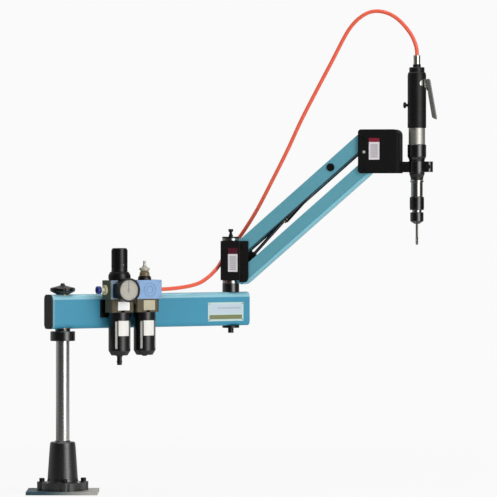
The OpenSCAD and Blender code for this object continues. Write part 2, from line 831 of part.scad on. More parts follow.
module regulator_knob() {
  z0 = body_top + bonnet_h + 0.5;
  r = regulator_knob_d / 2;
  color([0.09, 0.09, 0.10]) in_arm() translate([regulator_x, -unit_y, z0]) difference() {
    rotate_extrude() polygon([[0, 0], [r, 0], [r, 6], [r - 0.9, 8], [r - 1.4, regulator_knob_h - 3],
      [r - 3.4, regulator_knob_h], [0, regulator_knob_h]]);
    translate([0, 0, -1]) cylinder(r = spigot_r + run_fit, h = 24);
    for (i = [0:17]) {
      rotate([0, 0, i * 20]) translate([r - 0.4, 0, 9]) cylinder(r = 1.3, h = regulator_knob_h);
    }
  }
}

module gauge_case() {
  y0 = unit_front;
  color([0.07, 0.07, 0.08]) in_arm() difference() {
    union() {
      across(regulator_x, port_z, gauge_d / 2 - 1.6, y0 - 7.5 - gauge_depth, y0 - 7.5);
      across(regulator_x, port_z, gauge_d / 2, y0 - 7.5 - gauge_depth, y0 - gauge_depth - 1.5);
      translate([regulator_x, y0, port_z]) rotate([90, 0, 0]) cylinder(r = 8, h = 8, $fn = 6);
      across(regulator_x, port_z, gauge_stem_r, y0 - 1, y0 + 11);
    }
    across(regulator_x, port_z, dial_d / 2 + seat_fit, y0 - 60, dial_y);
  }
}

module gauge_dial() {
  color([0.93, 0.91, 0.84]) in_arm() {
    across(regulator_x, port_z, dial_d / 2, dial_y - 1, dial_y);
    across(regulator_x, port_z, dial_pin_r, dial_y - 4.4, dial_y);
  }
}

module gauge_needle() {
  y0 = dial_y - 1.7;
  tail = 8;
  reach = dial_d / 2 - 4.5;
  color([0.08, 0.08, 0.08]) in_arm() difference() {
    union() {
      across(regulator_x, port_z, 3.6, y0 - 1.2, y0);
      translate([regulator_x - 0.8, y0 - 1.2, port_z - tail]) cube([1.6, 1.2, tail + reach]);
    }
    across(regulator_x, port_z, dial_pin_r + run_fit, y0 - 5, y0 + 5);
  }
}

module air_fittings() {
  x0 = inlet_x;
  x1 = outlet_x;
  color([0.80, 0.79, 0.74]) in_arm() {
    difference() {
      union() {
        along(x0 - inlet_ring_t, x0, -unit_y, port_z, inlet_ring_r);
        along(x0 - e, x0 + 9, -unit_y, port_z, port_r - seat_fit);
        along(stem_end, x0 - inlet_ring_t + e, -unit_y, port_z, inlet_stem_r);
      }
      along(stem_end - 1, x0 + 10, -unit_y, port_z, hose_bore_r);
      difference() {
        along(x0 - inlet_ring_t - 1, x0 - inlet_ring_t + 2, -unit_y, port_z, inlet_ring_r - 3);
        along(x0 - inlet_ring_t - 2, x0, -unit_y, port_z, inlet_stem_r);
      }
    }
    difference() {
      union() {
        along(x1 - 9, x1 + e, -unit_y, port_z, port_r - seat_fit);
        along(x1, x1 + 4.4, -unit_y, port_z, 9);
      }
      along(x1 - 10, x1 + 5, -unit_y, port_z, hose_bore_r);
    }
  }
}

module inlet_collar() {
  color([0.08, 0.14, 0.38]) in_arm() difference() {
    along(stem_end - collar_l, stem_end, -unit_y, port_z, inlet_collar_d / 2);
    along(stem_end - collar_l - 1, stem_end + 1, -unit_y, port_z, hose_bore_r);
  }
}

/* ---- elbow block ---- */

// Side of a cheek, with its lower corner round the lower pivot
module cheek() {
  long = pivot_x + cheek_reach - block_front + block_corner;
  square([long, block_top - low_pivot_z]);
  intersection() {
    translate([long - cheek_reach, 0]) circle(r = cheek_reach);
    translate([0, -pivot_rise - 4.5]) square([long, block_h]);
  }
}

module swivel_block() {
  ex = pivot_x + eye_x;
  ez = pivot_z + eye_z;
  color([0.11, 0.11, 0.11]) in_link() {
    difference() {
      union() {
        translate([(block_front - block_back) / 2, 0, block_z]) linear_extrude(block_h)
          rounded(block_front + block_back, block_d, block_corner);
        for (i = [-1, 1]) {
          translate([block_front - block_corner, i * (half_gap + cheek_t / 2), low_pivot_z])
            rotate([90, 0, 0]) linear_extrude(cheek_t, center = true) cheek();
        }
      }
      translate([bar_slot_x, -half_gap, block_z - 40]) cube([60, cheek_gap, block_h + 80]);
      translate([0, 0, block_z - 1]) cylinder(r = pin_r + run_fit, h = block_h + 2);
      across(pivot_x, pivot_z, pivot_r + seat_fit, -60, 60);
      across(pivot_x, low_pivot_z, pivot_r + seat_fit, -60, 60);
    }
    difference() {
      for (i = [-1, 1]) {
        translate([0, i * lug_y, 0]) rotate([90, 0, 0]) linear_extrude(lug_t, center = true)
          union() {
            polygon([[bar_slot_x - 0.5, ez - lug_r + 0.5], [ex, ez - lug_r], [ex, ez + lug_r],
              [bar_slot_x - 0.5, ez + lug_r / 2 - 0.75]]);
            translate([ex, ez]) circle(r = lug_r);
          }
      }
      across(ex, ez, eye_pin_r + seat_fit, -20, 20);
    }
  }
}

module block_pins() {
  reach = half_gap + cheek_t + 1.2;
  color([0.16, 0.16, 0.17]) in_link() for (dz = [0, pivot_gap]) {
    across(pivot_x, low_pivot_z + dz, pivot_r, -reach, reach);
  }
}

module strut_pin() {
  color([0.60, 0.61, 0.63]) in_link() {
    across(pivot_x + eye_x, pivot_z + eye_z, eye_pin_r, -pin_end, pin_end);
    for (y = [-pin_end - 1.5, pin_end]) {
      across(pivot_x + eye_x, pivot_z + eye_z, eye_pin_r + 1.6, y, y + 1.5);
    }
  }
}

/* ---- parallelogram bars ---- */

// Bar profile in the X-Z plane, turned up on its side
module bar_side() {
  translate([0, -bar_r]) square([bar_l, bar_h]);
  circle(r = bar_r);
  translate([bar_l, 0]) circle(r = bar_r);
}

// Channel with its web at the top (s = 1) or at the bottom (s = -1)
module channel(s) {
  difference() {
    rotate([90, 0, 0]) linear_extrude(bar_w, center = true) bar_side();
    translate([-60, -bar_w / 2 + bar_wall, s > 0 ? -60 : bar_wall - bar_r])
      cube([bar_l + 120, bar_w - 2 * bar_wall, 60 + bar_r - bar_wall]);
    across(0, 0, pivot_bush_d / 2 - e, -60, 60);
    across(bar_l, 0, pivot_bush_d / 2 - e, -60, 60);
  }
  for (x = [0, bar_l]) {
    difference() {
      across(x, 0, pivot_bush_d / 2, -bar_w / 2, bar_w / 2);
      across(x, 0, pivot_r + run_fit, -60, 60);
    }
  }
}

module upper_bar() {
  color([0.33, 0.61, 0.70]) at_bar(pivot_z) difference() {
    channel(1);
    across(strut_bolt_x, bolt_z, bolt_r + seat_fit, -60, 60);
  }
}

module lower_bar() {
  color([0.33, 0.61, 0.70]) at_bar(low_pivot_z) channel(-1);
}

module strut_bolt() {
  half_w = bar_w / 2;
  color([0.09, 0.09, 0.10]) at_bar(pivot_z) {
    across(strut_bolt_x, bolt_z, bolt_r, -half_w - 1, half_w + 1);
    difference() {
      across(strut_bolt_x, bolt_z, bolt_r + 6, -half_w - 3.6, -half_w);
      across(strut_bolt_x, bolt_z, bolt_r, -half_w - 8, -half_w - 2);
    }
    across(strut_bolt_x, bolt_z, bolt_r + 4, half_w, half_w + 5);
  }
}

// X runs from the strut's bolt on the upper bar down to the rod's eye
module at_strut() {
  in_link() translate([pivot_x + gx, 0, pivot_z + gz]) rotate([0, 180 - strut_a, 0]) children();
}

module gas_cylinder() {
  color([0.05, 0.05, 0.06]) at_strut() difference() {
    union() {
      across(0, 0, 8, -6, 6);
      along(0, 18, 0, 0, 5);
      along(16, mouth_x, 0, 0, strut_r);
      along(mouth_x - e, mouth_x + 5, 0, 0, strut_r - 2.6);
    }
    across(0, 0, bolt_r + run_fit, -20, 20);
    along(mouth_x - 2 * rod_in, strut_l, 0, 0, rod_r + run_fit);
  }
}

module gas_rod() {
  color([0.58, 0.58, 0.60]) at_strut() difference() {
    union() {
      along(mouth_x - rod_in, strut_l - 8, 0, 0, rod_r);
      across(strut_l, 0, eye_pin_r + eye_play + 2.6, -5, 5);
    }
    across(strut_l, 0, eye_pin_r + eye_play, -20, 20);
  }
}

/* ---- head ---- */

module head_profile() {
  r = head_round;
  c = head_corner;
  difference() {
    square([head_l, head_h]);
    translate([head_l - r, head_h - r]) square([r + 1, r + 1]);
    translate([-1, head_h - c]) square([c + 1, c + 1]);
    translate([-1, -1]) square([c + 1, c + 1]);
  }
  translate([head_l - r, head_h - r]) circle(r = r);
  translate([c, head_h - c]) circle(r = c);
  translate([c, c]) circle(r = c);
}

module head_box() {
  inner = head_d / 2 - head_wall;
  bar_room = bar_r + 3;
  floor_h = head_drop + 17.5;
  color([0.12, 0.12, 0.12]) in_link() difference() {
    intersection() {
      translate([head_x, 0, head_z]) rotate([90, 0, 0])
        linear_extrude(head_d, center = true) head_profile();
      translate([head_x + head_l / 2 - 20, 0, head_z - 1]) linear_extrude(head_h + 2)
        rounded(head_l + 40, head_d, 9);
    }
    difference() {
      union() {
        translate([head_x - 5, -inner, head_z - 5])
          cube([head_back + bar_room + 5, 2 * inner, head_h + 10]);
        translate([head_pivot_x + bar_room - 3, -inner, head_z + floor_h])
          cube([head_l - head_back - bar_room + 3 - head_wall, 2 * inner,
            head_h - floor_h - head_wall]);
      }
      for (dz = [0, pivot_gap]) {
        across(head_pivot_x, low_pivot_z + rise + dz, 10, half_gap, 60);
        across(head_pivot_x, low_pivot_z + rise + dz, 10, -60, -half_gap);
      }
    }
    across(head_pivot_x, low_pivot_z + rise, pivot_r + seat_fit, -60, 60);
    across(head_pivot_x, pivot_z + rise, pivot_r + seat_fit, -60, 60);
    across(head_screw_x, head_screw_z, head_screw_r + seat_fit, -60, -inner - 1);
  }
}

module head_pins() {
  color([0.14, 0.14, 0.15]) in_link() for (dz = [0, pivot_gap]) {
    across(head_pivot_x, low_pivot_z + rise + dz, pivot_r, 0.4 - head_d / 2, head_d / 2 - 0.4);
  }
}

module tool_clamp() {
  r = clamp_d / 2;
  arm_w = lug_w + 2;
  color([0.10, 0.10, 0.11]) at_tool() difference() {
    union() {
      translate([0, 0, clamp_z]) cylinder(r = r, h = clamp_h);
      translate([head_x + head_l - tool_x, -arm_w / 2, clamp_z])
        cube([tool_x - head_x - head_l, arm_w, clamp_h - 1]);
      translate([lug_back, -lug_w / 2, clamp_z + 0.5]) cube([lug_l - lug_back, lug_w, clamp_h - 1]);
    }
    translate([0, 0, clamp_z - 1]) cylinder(r = seat_r + seat_fit, h = clamp_h + 2);
    translate([5, -clamp_slit / 2, clamp_z - 1]) cube([lug_l, clamp_slit, clamp_h + 2]);
    across(clamp_screw_x, clamp_screw_z, clamp_screw_r + seat_fit, -60, 60);
  }
}

module head_screws() {
  color([0.75, 0.75, 0.75]) {
    at_tool() {
      difference() {
        across(clamp_screw_x, clamp_screw_z, clamp_screw_r + 2, -lug_w / 2 - 5, -lug_w / 2);
        across(clamp_screw_x, clamp_screw_z, clamp_screw_r - 0.4, -lug_w, -lug_w / 2 - 2.5);
      }
      across(clamp_screw_x, clamp_screw_z, clamp_screw_r, -lug_w / 2 - 0.5, lug_w / 2 + 0.5);
      translate([clamp_screw_x, lug_w / 2, clamp_screw_z]) rotate([-90, 0, 0])
        cylinder(r = clamp_screw_r + 2.7, h = 5, $fn = 6);
    }
    in_link() {
      across(head_screw_x, head_screw_z, head_screw_r + 1.7, -head_d / 2 - 1.4, -head_d / 2);
      across(head_screw_x, head_screw_z, head_screw_r, -head_d / 2 - 1, head_wall - 1.5 - head_d / 2);
    }
  }
}

/* ---- air tool ---- */

module tool_handle() {
  r = handle_r;
  neck_r = fitting_r + 1.4;
  color([0.13, 0.13, 0.13]) at_tool() difference() {
    rotate_extrude() polygon([[0, handle_z], [r, handle_z], [r, handle_top - 8],
      [r - 1.4, handle_top - 1.5], [r - 3, handle_top], [r - 4.2, handle_top],
      [r - 4.2, handle_top + cap_h - 1.5], [r - 5.7, handle_top + cap_h],
      [neck_r, handle_top + cap_h], [neck_r, cap_top - 1], [neck_r - 1, cap_top], [0, cap_top]]);
    along(-60, -10, 0, button_z, stem_r + run_fit);
    translate([0, 0, handle_z - 1]) cylinder(r = motor_r, h = handle_l - 30);
    translate([0, 0, handle_top - 8]) cylinder(r = fitting_stem_r + seat_fit, h = 30);
  }
}

module hose_fitting() {
  color([0.80, 0.80, 0.78]) at_tool() difference() {
    union() {
      translate([0, 0, cap_top]) cylinder(r = fitting_r, h = fitting_l);
      translate([0, 0, handle_top + 4]) cylinder(r = fitting_stem_r, h = cap_top - handle_top - 3);
    }
    translate([0, 0, cap_top + fitting_l - 11]) cylinder(r = hose_bore_r, h = 12);
  }
}

module exhaust_band() {
  color([0.82, 0.82, 0.83]) at_tool() difference() {
    translate([0, 0, band_z]) cylinder(d = band_d, h = band_h);
    translate([0, 0, band_z + 5]) cylinder(r = motor_r, h = band_h);
  }
}

module gear_housing() {
  r = gear_d / 2;
  color([0.10, 0.10, 0.11]) at_tool() difference() {
    rotate_extrude() polygon([[0, clamp_z], [seat_r, clamp_z], [seat_r, clamp_top],
      [r - 4.2, clamp_top], [r - 3.4, clamp_top + 5], [r, gear_z - 2], [r, band_z - 0.8],
      [r - 1, band_z], [0, band_z]]);
    translate([0, 0, clamp_z - 1]) cylinder(r = spindle_r + run_fit, h = 17);
  }
}

module nosepiece() {
  r = nose_d / 2;
  color([0.12, 0.12, 0.12]) at_tool() difference() {
    rotate_extrude() polygon([[0, nose_z + 0.4], [r - 4, nose_z + 0.4], [r - 3, nose_z + 8],
      [r, nose_z + 16], [r, clamp_z], [0, clamp_z]]);
    translate([0, 0, nose_z - 1]) cylinder(r = spindle_r + run_fit, h = 23);
  }
}

// Side of the lever's bracket, with its pin at the origin and its point round the handle
module bracket_side() {
  polygon([[-16.5, -6], [-15.5, -11], [-8, -13.5], [-3.2, -19], [-1.4, -25], [1.2, -25],
    [ear_r, -12], [ear_r, 0], [2.4, 3], [-9, 4.4], [-14, -1]]);
  circle(r = ear_r);
}

module lever_bracket() {
  r = handle_r;
  inside = ear_y - ear_t / 2;
  color([0.84, 0.84, 0.83]) at_tool() difference() {
    intersection() {
      translate([lever_x, 0, lever_z]) rotate([90, 0, 0]) linear_extrude(80, center = true)
        bracket_side();
      union() {
        translate([0, 0, lever_z - 40]) cylinder(r = r + strap_t, h = 60);
        for (y = [-ear_y, ear_y]) {
          translate([r - 1, y - ear_t / 2, lever_z - 40]) cube([20, ear_t, 60]);
        }
      }
    }
    translate([0, 0, lever_z - 50]) cylinder(r = r + seat_fit, h = 80);
    across(lever_x, lever_z, lever_pin_r + run_fit, -60, 60);
    translate([r, -inside, lever_z - 7]) cube([20, 2 * inside, 14]);
  }
}

// Side of the throttle lever, with its pin at the origin
module lever_side() {
  web_x = ear_r + 0.5 + lever_t;
  polygon([[web_x, 2], [web_x, 3 - lever_l], [web_x - 1.5, -lever_l], [-3.6, 6 - lever_l],
    [-4.2, 9 - lever_l], [-4, -34], [-2.8, -20], [-2.4, 0], [-1, 4], [2, 5.4]]);
}

module throttle_lever() {
  hub_y = ear_y - ear_t / 2 - 0.2;
  color([0.82, 0.82, 0.82]) at_tool() translate([lever_x, 0, lever_z]) {
    across(0, 0, lever_pin_r, -lever_w / 2 - 0.8, lever_w / 2 + 0.8);
    rotate([0, -lever_lean, 0]) {
      difference() {
        rotate([90, 0, 0]) linear_extrude(lever_w, center = true) lever_side();
        translate([-20, lever_t - lever_w / 2, -lever_l - 5])
          cube([20.5 + ear_r, lever_w - 2 * lever_t, lever_l + 20]);
      }
      translate([-lever_hub_r, -hub_y, -lever_hub_r])
        cube([lever_hub_r + ear_r + 0.6, 2 * hub_y, 2 * lever_hub_r]);
    }
  }
}

module reverse_button() {
  gap = button_travel + 0.3;
  color([0.08, 0.08, 0.08]) at_tool() {
    along(-handle_r - gap - 1, -handle_r + 8.3, 0, button_z, stem_r);
    translate([-handle_r - gap, 0, button_z]) rotate([0, -90, 0])
      rotate_extrude() polygon([[0, 0], [button_d / 2 - 2, 0], [button_d / 2, 3],
        [button_d / 2, 4.5], [button_d / 2 - 1.5, 6.2], [0, 7]]);
  }
}

module chuck_shank() {
  color([0.80, 0.80, 0.81]) at_tool() {
    translate([0, 0, shank_z]) cylinder(d = shank_d, h = nose_z - shank_z);
    translate([0, 0, nose_z - flange_l]) cylinder(d = shank_d + 4, h = flange_l);
    translate([0, 0, nose_z - 0.1]) cylinder(d = spindle_d, h = spindle_l);
    translate([0, 0, collet_z]) cylinder(r = core_r, h = shank_z - collet_z + e);
  }
}

module chuck_sleeve() {
  r = sleeve_d / 2;
  color([0.10, 0.10, 0.11]) at_tool() difference() {
    rotate_extrude() polygon([[0, sleeve_z], [r - 1, sleeve_z], [r, sleeve_z + 1],
      [r, sleeve_z + sleeve_l - 1.4], [r - 1.4, sleeve_z + sleeve_l], [0, sleeve_z + sleeve_l]]);
    translate([0, 0, sleeve_z - 1]) cylinder(r = core_r + run_fit, h = sleeve_l + 2);
  }
}

module tap_collet() {
  r = collet_d / 2;
  color([0.11, 0.11, 0.11]) at_tool() difference() {
    rotate_extrude() polygon([[0, collet_z], [r - 1, collet_z], [r, collet_z - 1],
      [r, collet_z - 22], [r - 1.4, collet_z - 23.4], [8.2, collet_z - 28],
      [7.6, collet_z - collet_l], [0, collet_z - collet_l]]);
    translate([0, 0, collet_z - collet_l - 10])
      cylinder(r = tap_r + seat_fit, h = tap_grip + 11);
  }
}

module tap() {
  color([0.62, 0.62, 0.62]) at_tool() difference() {
    union() {
      translate([0, 0, tip_z + 20]) cylinder(r = tap_r, h = tap_l + tap_grip - 20);
      translate([0, 0, tip_z + 3]) cylinder(r = tap_r + 0.5, h = 18);
      translate([0, 0, tip_z]) cylinder(r1 = tap_r - 1, r2 = tap_r + 0.5, h = 3 + e);
    }
    for (i = [0:2]) {
      rotate([0, 0, i * 120 + 30]) translate([tap_r + 1, 0, tip_z - 1]) cylinder(r = 2, h = 22);
    }
  }
}

/* ---- hose ---- */

// Point at t (0 to 1) of a smooth curve from b to c, with a and d as its neighbours
function between(a, b, c, d, t) = 0.5 * ((2 * b) + (c - a) * t
  + (2 * a - 5 * b + 4 * c - d) * t * t + (3 * b - a - 3 * c + d) * t * t * t);
function neighbour(p, i) = p[max(0, min(len(p) - 1, i))];
function smooth(p, n) = [for (i = [0:len(p) - 2]) for (j = [0:n - 1])
  between(neighbour(p, i - 1), p[i], p[i + 1], neighbour(p, i + 2), j / n),
  p[len(p) - 1]];
function unit(v) = v / norm(v);

// The hose from its point first to its point last
module hose(first, last, side) {
  steps = 2;
  sides = 10;
  line = smooth(hose_route, steps);
  m = (last - first) * steps + 1;
  rings = [for (i = [0:m - 1])
    let (p = first * steps + i, t = unit(neighbour(line, p + 1) - neighbour(line, p - 1)),
      u = unit(cross(t, side)), v = cross(u, t))
    for (j = [0:sides - 1])
      line[p] + hose_r * (cos(j * 360 / sides) * u + sin(j * 360 / sides) * v)];
  walls = [for (i = [0:m - 2]) for (j = [0:sides - 1])
    [i * sides + j, i * sides + (j + 1) % sides, (i + 1) * sides + (j + 1) % sides,
      (i + 1) * sides + j]];
  ends = [[for (j = [sides - 1:-1:0]) j], [for (j = [0:sides - 1]) (m - 1) * sides + j]];
  polyhedron(points = rings, faces = concat(walls, ends), convexity = 6);
}

module hose_lower() {
  color([0.86, 0.36, 0.24]) hose(0, hose_split, [0.5, -0.866, 0]);
}

module hose_upper() {
  color([0.86, 0.36, 0.24]) hose(hose_split, len(hose_route) - 1, [0.3, 0.95, 0]);
}

base_plate();
column_socket();
stand_screws();
column();
column_collar();
thrust_ring();
lock_knob();
arm_tube();
end_caps();
arm_bushes();
elbow_pin();
elbow_spacer();
elbow_rings();
elbow_fasteners();
grease_nipple();
name_plate();
unit_bracket();
regulator_body();
unit_rings();
bowl_guards();
air_bowls();
drain_valves();
lubricator_body();
sight_dome();
gauge_case();
gauge_dial();
air_fittings();
inlet_collar();
regulator_knob();
oil_screw();
gauge_needle();
swivel_block();
block_pins();
strut_pin();
upper_bar();
strut_bolt();
lower_bar();
gas_cylinder();
gas_rod();
head_box();
head_pins();
tool_clamp();
head_screws();
tool_handle();
hose_fitting();
exhaust_band();
gear_housing();
nosepiece();
lever_bracket();
throttle_lever();
reverse_button();
chuck_shank();
chuck_sleeve();
tap_collet();
tap();
hose_lower();
hose_upper();
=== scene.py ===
import json
import math

import bmesh
import bpy
from mathutils import Matrix, Vector

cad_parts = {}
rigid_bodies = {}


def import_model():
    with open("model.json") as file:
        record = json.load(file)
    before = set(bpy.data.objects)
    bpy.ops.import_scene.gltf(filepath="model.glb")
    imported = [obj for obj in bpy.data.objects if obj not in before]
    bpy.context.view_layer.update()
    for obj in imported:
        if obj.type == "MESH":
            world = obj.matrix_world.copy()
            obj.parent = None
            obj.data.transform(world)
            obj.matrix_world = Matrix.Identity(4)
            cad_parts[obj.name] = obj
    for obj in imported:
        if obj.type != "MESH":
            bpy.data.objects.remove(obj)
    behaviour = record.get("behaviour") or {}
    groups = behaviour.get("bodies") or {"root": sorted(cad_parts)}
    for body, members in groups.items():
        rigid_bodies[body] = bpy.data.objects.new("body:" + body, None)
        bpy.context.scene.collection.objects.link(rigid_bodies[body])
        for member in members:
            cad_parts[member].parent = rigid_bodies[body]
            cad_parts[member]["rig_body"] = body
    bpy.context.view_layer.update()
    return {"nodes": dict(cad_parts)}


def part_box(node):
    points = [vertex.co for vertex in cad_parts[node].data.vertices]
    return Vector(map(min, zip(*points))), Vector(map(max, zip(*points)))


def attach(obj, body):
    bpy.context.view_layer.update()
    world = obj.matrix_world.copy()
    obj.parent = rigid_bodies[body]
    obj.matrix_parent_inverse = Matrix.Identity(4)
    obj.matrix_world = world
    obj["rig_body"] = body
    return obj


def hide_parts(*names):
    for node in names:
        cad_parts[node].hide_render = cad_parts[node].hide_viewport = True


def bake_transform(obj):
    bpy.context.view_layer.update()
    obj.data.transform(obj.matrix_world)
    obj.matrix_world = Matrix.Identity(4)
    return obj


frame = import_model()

MM = 0.001
TO_METRES = Matrix.Diagonal((MM, MM, MM, 1))

# ---- places: the frame of each arm, in millimetres and degrees ----
ARM_TURN = 30  # of the lower arm about the column
ARM_REACH = 484
ELBOW_TURN = -43  # of the upper arm from the lower arm's line
BAR_SLOPE = 41
PIVOT_X = 35.5  # of the bars' pivots, from the elbow's axis
HIGH_PIVOT_Z, LOW_PIVOT_Z = 613, 535
TOOL_X = 484.278  # from the elbow's axis
STRUT_BOLT_X = 306  # along the upper bar
STRUT_BOLT_Z = 2
STRUT_EYE_X = 23  # from the upper bar's pivot
STRUT_EYE_Z = -22
ROD_OUT = 118
ROD_EYE_R = 5


def in_scene(name, data):
    """A new object in the scene."""
    made = bpy.data.objects.new(name, data)
    bpy.context.scene.collection.objects.link(made)
    return made


def moved(x=0.0, y=0.0, z=0.0):
    return Matrix.Translation((x * MM, y * MM, z * MM))


def turned(degrees, axis="Z"):
    return Matrix.Rotation(math.radians(degrees), 4, axis)


WORLD = Matrix.Identity(4)
ARM = turned(ARM_TURN)
LINK = ARM @ moved(ARM_REACH) @ turned(ELBOW_TURN)
TOOL = LINK @ moved(TOOL_X)
HIGH_BAR = LINK @ moved(PIVOT_X, 0, HIGH_PIVOT_Z) @ turned(-BAR_SLOPE, "Y")
LOW_BAR = LINK @ moved(PIVOT_X, 0, LOW_PIVOT_Z) @ turned(-BAR_SLOPE, "Y")
FRONT = turned(90, "X")  # stands a flat shape up, with its top side to the front

# The strut hangs on its bolt in the upper bar and points at its eye in the block.
strut_bolt = HIGH_BAR @ moved(STRUT_BOLT_X, 0, STRUT_BOLT_Z)
strut_eye = LINK @ moved(PIVOT_X + STRUT_EYE_X, 0, HIGH_PIVOT_Z + STRUT_EYE_Z)
strut_way = (LINK.inverted().to_3x3() @ (strut_eye.translation - strut_bolt.translation)) / MM
STRUT = (
    Matrix.Translation(strut_bolt.translation) @ turned(ARM_TURN + ELBOW_TURN)
    @ turned(-math.degrees(math.atan2(strut_way.z, strut_way.x)), "Y")
)
STRUT_MOUTH = strut_way.length - ROD_OUT - ROD_EYE_R  # the cylinder's, along the strut


def heights(node):
    """The lowest and the highest point of a node, in millimetres."""
    low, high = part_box(node)
    return low[2] / MM, high[2] / MM


# ---- the lower arm and its air service unit, in the arm's frame ----
TUBE_TOP = heights("arm_tube")[1]
TUBE_CORNER = 12
TUBE_END = -37.5
PLATE_Z, PLATE_TOP = heights("name_plate")
PLATE_LEFT = ARM_REACH - 78.5
PLATE_RIGHT = ARM_REACH + 25.5
PLATE_FRONT = -20.7
UNIT_Y = -54
UNIT_FRONT = -74.5
LABEL_FRONT = -72.75  # on the unit's necks
REGULATOR_X = 132
LUBRICATOR_X = 203.5
BODY_TOP = heights("regulator_body")[1]
BODY_H = 47
BODY_Z = BODY_TOP - BODY_H
PORT_DROP = 24
PORT_Z = BODY_TOP - PORT_DROP
# edges of the dark sheet of painted gauge shade on the regulator's front
SHADE_SHEET_LEFT, SHADE_SHEET_RIGHT = 102.4, 163.5
DIAL_Y = -101
DIAL_R = 26.5
GAUGE_R = 30.15
GUARD_R = 27.6
GUARD_Z, GUARD_TOP = heights("bowl_guards")
KNOB_Z, KNOB_TOP = heights("regulator_knob")
KNOB_R = 20.5
KNOB_BORE_R = 14.9
GAUGE = ARM @ moved(REGULATOR_X, DIAL_Y, PORT_Z) @ FRONT


def rgb(red, green, blue):
    """A colour as it shows, 0 to 255, in the shader's linear numbers."""
    return tuple(
        c / 12.92 if c <= 0.04045 else ((c + 0.055) / 1.055) ** 2.4
        for c in (red / 255, green / 255, blue / 255)
    ) + (1,)


# ---- camera ----
VIEW_POINT = (0.4645, -10.0, 0.778)
FRAME_PIXELS = 497
FOCAL_PIXELS = 4000  # a long view, from 10 m away
HORIZON_ROW = 182

camera_data = bpy.data.cameras.new("view")
camera_data.lens = camera_data.sensor_width * FOCAL_PIXELS / FRAME_PIXELS
camera_data.shift_y = (HORIZON_ROW - FRAME_PIXELS / 2) / FRAME_PIXELS
camera_data.clip_end = 60
camera = in_scene("view", camera_data)
camera.location = VIEW_POINT
camera.rotation_euler = (math.pi / 2, 0, 0)
bpy.context.scene.camera = camera


# ---- node trees ----
class Value:
    """A socket in a node tree. Python's operators add Math nodes to it."""

    def __init__(self, nodes, socket):
        self.nodes = nodes
        self.socket = socket

    def maths(self, operation, *values):
        return self.nodes.node(
            "ShaderNodeMath", {"operation": operation}, dict(enumerate(values))
        )

    def __add__(self, other):
        return self.maths("ADD", self, other)

    def __sub__(self, other):
        return self.maths("SUBTRACT", self, other)

    def __rsub__(self, other):
        return self.maths("SUBTRACT", other, self)

    def __mul__(self, other):
        return self.maths("MULTIPLY", self, other)

    def limited(self):
        """The value, kept from 0 to 1."""
        return self.maths("MINIMUM", self.maths("MAXIMUM", self, 0.0), 1.0)

    __radd__ = __add__
    __rmul__ = __mul__


class Nodes:
    """A node tree that grows by one node at a time."""

    def __init__(self, tree):
        self.tree = tree

    def node(self, kind, settings=None, inputs=None, out=0):
        """A new node: its settings first, then the numbers or links of its sockets."""
        made = self.tree.nodes.new(kind)
        for key, setting in (settings or {}).items():
            setattr(made, key, setting)
        for socket, value in (inputs or {}).items():
            if isinstance(value, Value):
                self.tree.links.new(value.socket, made.inputs[socket])
            else:
                made.inputs[socket].default_value = value
        return Value(self, made.outputs[out])

    def node_end(self, kind, value):
        self.tree.links.new(value.socket, self.tree.nodes.new(kind).inputs[0])

    def mix(self, share, first, second):
        """The first colour, and the second where share is 1."""
        return self.node(
            "ShaderNodeMix", {"data_type": "RGBA"}, {0: share, 6: first, 7: second}, out=2
        )

    def parts(self, vector):
        """X, Y and Z of a vector."""
        split = self.tree.nodes.new("ShaderNodeSeparateXYZ")
        self.tree.links.new(vector.socket, split.inputs[0])
        return [Value(self, socket) for socket in split.outputs]

    def above(self, value, edge, soft=0.3):
        """1 where value is above edge, with a soft step."""
        return self.node("ShaderNodeMapRange", {"interpolation_type": "SMOOTHSTEP"}, {
            "Value": value, "From Min": edge - soft, "From Max": edge + soft,
        })

    def between(self, value, low, high, soft=0.3):
        return self.above(value, low, soft) * (1 - self.above(value, high, soft))


# ---- finishes ----
class Finish(Nodes):
    """A material of one Principled shader. What varies over the surface is linked to it."""

    def __init__(self, name, colour, roughness, metallic=0.0, also=None):
        self.material = bpy.data.materials.new(name)
        self.material.use_nodes = True
        super().__init__(self.material.node_tree)
        self.shader = self.tree.nodes["Principled BSDF"]
        self.set("Base Color", colour)
        self.set("Roughness", roughness)
        self.set("Metallic", metallic)
        for socket, value in (also or {}).items():
            self.set(socket, value)

    def set(self, socket, value):
        if isinstance(value, Value):
            self.tree.links.new(value.socket, self.shader.inputs[socket])
        else:
            self.shader.inputs[socket].default_value = value

    def colour(self):
        """What feeds the base colour now, to paint over."""
        socket = self.shader.inputs["Base Color"]
        if socket.is_linked:
            return Value(self, socket.links[0].from_socket)
        return tuple(socket.default_value)

    def paint_over(self, share, colour):
        self.set("Base Color", self.mix(share, self.colour(), colour))

    def within(self, place):
        """X, Y and Z of the surface in a piece's own frame, in millimetres."""
        home = place.inverted()
        here = self.node("ShaderNodeTexCoord", out="Object")
        local = self.node("ShaderNodeMapping", {}, {
            "Vector": here, "Location": home.translation / MM,
            "Rotation": home.to_euler(), "Scale": (1 / MM,) * 3,
        })
        return self.parts(local)

    def noise(self, scale, detail=2.0, stretch=(1, 1, 1)):
        here = self.node("ShaderNodeTexCoord", out="Object")
        laid = self.node("ShaderNodeMapping", {}, {"Vector": here, "Scale": stretch})
        return self.node(
            "ShaderNodeTexNoise", {}, {"Vector": laid, "Scale": scale, "Detail": detail}
        )

    def bumps(self, height, depth):
        """Bump from a height of 0 to 1, depth metres deep."""
        self.set("Normal", self.node("ShaderNodeBump", {}, {"Height": height, "Distance": depth}))
        return self


def shaded(colour, amount):
    """The colour, lighter or darker by a factor."""
    return tuple(min(1.0, c * amount) for c in colour[:3]) + (1,)


